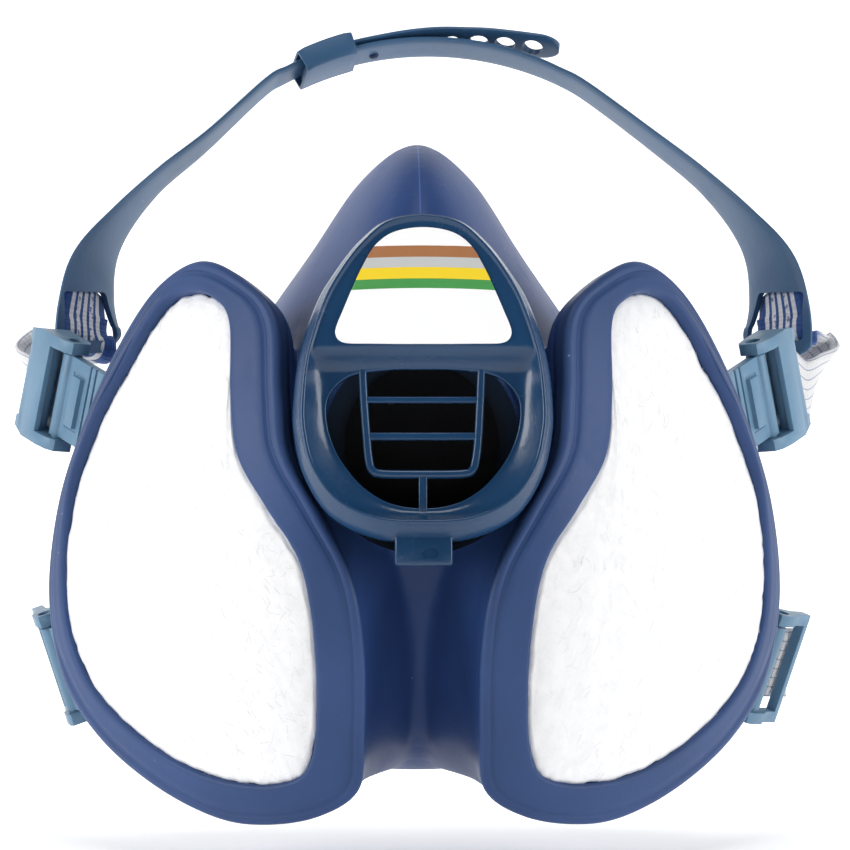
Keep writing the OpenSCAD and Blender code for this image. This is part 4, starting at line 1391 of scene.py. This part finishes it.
class RESPIRATOR_OT_valve_cover(Builder, bpy.types.Operator):
    """Build the exhalation valve cover with its grille, tab and banded label"""
    bl_idname = "respirator.valve_cover"
    bl_label = "Valve cover"

    def execute(self, context):
        blue = finish_for("cover_blue")
        hand_over(build_cover(blue), "cover", "cover_blue", "exhale_cover")
        hand_over(build_grille(blue), "cover", "cover_blue")
        hand_over(build_tab(blue), "cover", "cover_blue")
        # the skirt gets the near-black painted-shade finish in place of its own blue
        hand_over(build_skirt(finish_for("cover_painted_shade")), "cover", "cover_blue")
        hand_over(build_label(finish_for("label")), "cover", "label", "label_plate")
        return {"FINISHED"}


class RESPIRATOR_OT_buckles(Builder, bpy.types.Operator):
    """Build the four strap lugs and the buckles that hinge on them"""
    bl_idname = "respirator.buckles"
    bl_label = "Lugs and buckles"

    def execute(self, context):
        blue = finish_for("buckle_blue")
        for word, side in SIDES.items():
            for kind, maker in (("upper", build_upper_buckle), ("lower", build_lower_buckle)):
                lug = build_lug(kind, side, blue)
                lug.name = lug.data.name = "strap_lug_%s_%s_moulding" % (kind, word)
                hand_over(lug, "facepiece", "buckle_blue", "strap_lug_%s_%s" % (kind, word))
                buckle = maker(side, blue)
                buckle.name = buckle.data.name = "buckle_%s_%s_moulding" % (kind, word)
                hand_over(buckle, "buckle_%s_%s_body" % (kind, word), "buckle_blue",
                          "buckle_%s_%s" % (kind, word))
        return {"FINISHED"}


class RESPIRATOR_OT_head_band(Builder, bpy.types.Operator):
    """Build the head band's two arms, its keeper and its stud"""
    bl_idname = "respirator.head_band"
    bl_label = "Head band"

    def execute(self, context):
        blue = finish_for("band_blue")
        for obj, body, slot, node in ((build_left_arm(blue), "band_left_arm", "band_blue", "head_band_left"),
                                      (build_right_arm(blue), "harness", "band_blue", "head_band_right"),
                                      (build_keeper(blue), "harness", "band_blue", "band_keeper"),
                                      (build_stud(finish_for("stud_dark")), "harness", "stud_dark",
                                       "size_stud")):
            obj.name = obj.data.name = node + "_strap" if "head" in node else node + "_moulding"
            hand_over(obj, body, slot, node)
        return {"FINISHED"}


class RESPIRATOR_OT_webbing(Builder, bpy.types.Operator):
    """Build the elastic webbing at the buckles and round the neck"""
    bl_idname = "respirator.webbing"
    bl_label = "Webbing"

    def execute(self, context):
        weave, seated = finish_for("webbing"), finish_for("webbing_seated")
        width = sizes().webbing_width / MM
        for word, side in SIDES.items():
            c, w = upper_web_path(side)
            pieces = [("front", 0, SEAT_START + 1),
                      ("back", SEAT_START, len(c))] if side < 0 else [("whole", 0, len(c))]
            for part, a, b in pieces:
                finish = seated if part == "back" else weave
                web = ribbon("webbing_upper_%s_%s" % (word, part), c[a:b], w[a:b], width, WEB_THICK, finish)
                if part == "back":
                    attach(web, "band_left_arm")
                else:
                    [(c[k] * MM).tolist() for k in UPPER_BLEND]
                    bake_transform(web)
                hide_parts("webbing_upper_" + word)
            c, w = neck_web_path(side)
            web = ribbon("neck_webbing_%s_woven" % word, c, w, width, WEB_THICK, weave)
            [(c[k] * MM).tolist() for k in NECK_BLEND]
            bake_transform(web)
            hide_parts("neck_webbing_" + word)
        return {"FINISHED"}


class RESPIRATOR_OT_neck_clasp(Builder, bpy.types.Operator):
    """Build the hook and the eye that fasten behind the neck"""
    bl_idname = "respirator.neck_clasp"
    bl_label = "Neck clasp"

    def execute(self, context):
        for obj, body, node in ((build_eye(finish_for("buckle_blue")), "neck_strap", "neck_eye"),
                                (build_hook(finish_for("buckle_blue")), "clasp_hook", "neck_hook")):
            obj.name = obj.data.name = node + "_moulding"
            hand_over(obj, body, "buckle_blue", node)
        return {"FINISHED"}


class RESPIRATOR_OT_inner_parts(Builder, bpy.types.Operator):
    """Give the valve parts, trays and carbon beds inside their finishes; the seats get the cover's blue
    darkened as painted shade
    """
    bl_idname = "respirator.inner_parts"
    bl_label = "Inner parts"

    def execute(self, context):
        for node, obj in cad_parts.items():
            for prefix, finish in (("carbon", "carbon"), ("filter_tray", "tray_blue"),
                                   ("inhale_seat", "seat_blue"),
                                   ("inhale_flap", "flap_silicone"), ("exhale_seat", "seat_blue"),
                                   ("exhale_flap", "flap_silicone")):
                if node.startswith(prefix):
                    obj.data.materials.clear()
                    obj.data.materials.append(finish_for(finish))
        return {"FINISHED"}


# ---------------------------------------------------------------- studio, in metres
FLOOR_LEVEL = -0.0825
FLOOR_NEAR = -2.4
BEND_START = 2.2
BEND_RADIUS = 0.8
WALL_TOP = 5.0
HALF_WIDTH = 6
FAR_GLOW = (-0.06, 0.25)
LIGHTS = (("Left softbox", (-1.02, -0.42, 0.3), 0.7, 8.2), ("Right softbox", (1.02, -0.42, 0.24), 0.7, 7.0),
          ("Overhead", (0.0, -0.4, 1.1), 0.6, 4))
LIGHT_AIM = (0, -0.03, 0)
CAMERA_PLACE = (-0.0237, -1.0447, 0.0)
CAMERA_YAW = -1.43
CAMERA_LENS = 221.5


class RESPIRATOR_OT_stage(Builder, bpy.types.Operator):
    """Set the pale floor, the soft studio light and the camera"""
    bl_idname = "respirator.stage"
    bl_label = "Studio"

    def execute(self, context):
        scene = context.scene
        scene.view_settings.view_transform = "Standard"
        world = bpy.data.worlds.new("Studio")
        world.use_nodes = True
        world.node_tree.nodes["Background"].inputs[0].default_value = (0.95, 0.97, 1.0, 1)
        world.node_tree.nodes["Background"].inputs[1].default_value = 0.03
        scene.world = world
        paper = Finish("Paper", 0.95, Specular_IOR_Level=0.05, Emission_Strength=0.95)
        paper.set("Base Color", (0.9, 0.9, 0.905, 1))
        _, depth, _ = paper.axes(paper.coords())
        paper.set("Emission Color", paper.mix(depth.ramp(*FAR_GLOW), (0.4, 0.4, 0.4, 1), (1, 1, 1, 1)))
        bend = [(BEND_START + BEND_RADIUS * math.sin(a), FLOOR_LEVEL + BEND_RADIUS * (1 - math.cos(a)))
                for a in np.linspace(0, math.pi / 2, 24)]
        curve = [(FLOOR_NEAR, FLOOR_LEVEL), (0, FLOOR_LEVEL), *bend, (BEND_START + BEND_RADIUS, WALL_TOP)]
        verts = [(x / MM, y / MM, z / MM) for y, z in curve for x in (-HALF_WIDTH, HALF_WIDTH)]
        faces = [(2 * i, 2 * i + 1, 2 * i + 3, 2 * i + 2) for i in range(len(curve) - 1)]
        backdrop = make_object("backdrop", verts, faces, paper.material)
        for name, place, size, power in LIGHTS:
            light = bpy.data.lights.new(name, "AREA")
            light.shape = "DISK"
            light.size = size
            light.energy = power
            obj = bpy.data.objects.new(name, light)
            obj.location = place
            obj.rotation_euler = (Vector(LIGHT_AIM) - Vector(place)).to_track_quat("-Z", "Y").to_euler()
            scene.collection.objects.link(obj)
        lens = bpy.data.cameras.new("Camera")
        lens.lens = CAMERA_LENS
        lens.sensor_width = 36
        lens.clip_start = 0.05
        camera = bpy.data.objects.new("Camera", lens)
        camera.location = CAMERA_PLACE
        camera.rotation_euler = (math.pi / 2, 0, math.radians(CAMERA_YAW))
        scene.collection.objects.link(camera)
        scene.camera = camera
        return {"FINISHED"}


class RESPIRATOR_PT_panel(bpy.types.Panel):
    """Lists the pieces in the order they are built"""
    bl_idname = "RESPIRATOR_PT_panel"
    bl_label = "Respirator"
    bl_space_type = "VIEW_3D"
    bl_region_type = "UI"
    bl_category = "Respirator"

    def draw(self, context):
        for group in (context.scene.respirator_sizes, context.scene.respirator_colours):
            for key in group.__annotations__:
                self.layout.prop(group, key)
        for operator in OPERATORS:
            self.layout.operator(operator.bl_idname)


OPERATORS = (RESPIRATOR_OT_facepiece, RESPIRATOR_OT_filters, RESPIRATOR_OT_valve_cover, RESPIRATOR_OT_buckles,
             RESPIRATOR_OT_head_band, RESPIRATOR_OT_webbing, RESPIRATOR_OT_neck_clasp,
             RESPIRATOR_OT_inner_parts,
             RESPIRATOR_OT_stage)
CLASSES = (RESPIRATOR_PG_colours, RESPIRATOR_PG_sizes, *OPERATORS, RESPIRATOR_PT_panel)


def register():
    for item in CLASSES:
        bpy.utils.register_class(item)
    bpy.types.Scene.respirator_colours = bpy.props.PointerProperty(type=RESPIRATOR_PG_colours)
    bpy.types.Scene.respirator_sizes = bpy.props.PointerProperty(type=RESPIRATOR_PG_sizes)


def unregister():
    del bpy.types.Scene.respirator_sizes
    del bpy.types.Scene.respirator_colours
    for item in reversed(CLASSES):
        bpy.utils.unregister_class(item)


def main():
    register()
    for operator in OPERATORS:
        group, action = operator.bl_idname.split(".")
        getattr(getattr(bpy.ops, group), action)()


if __name__ == "__main__":
    main()
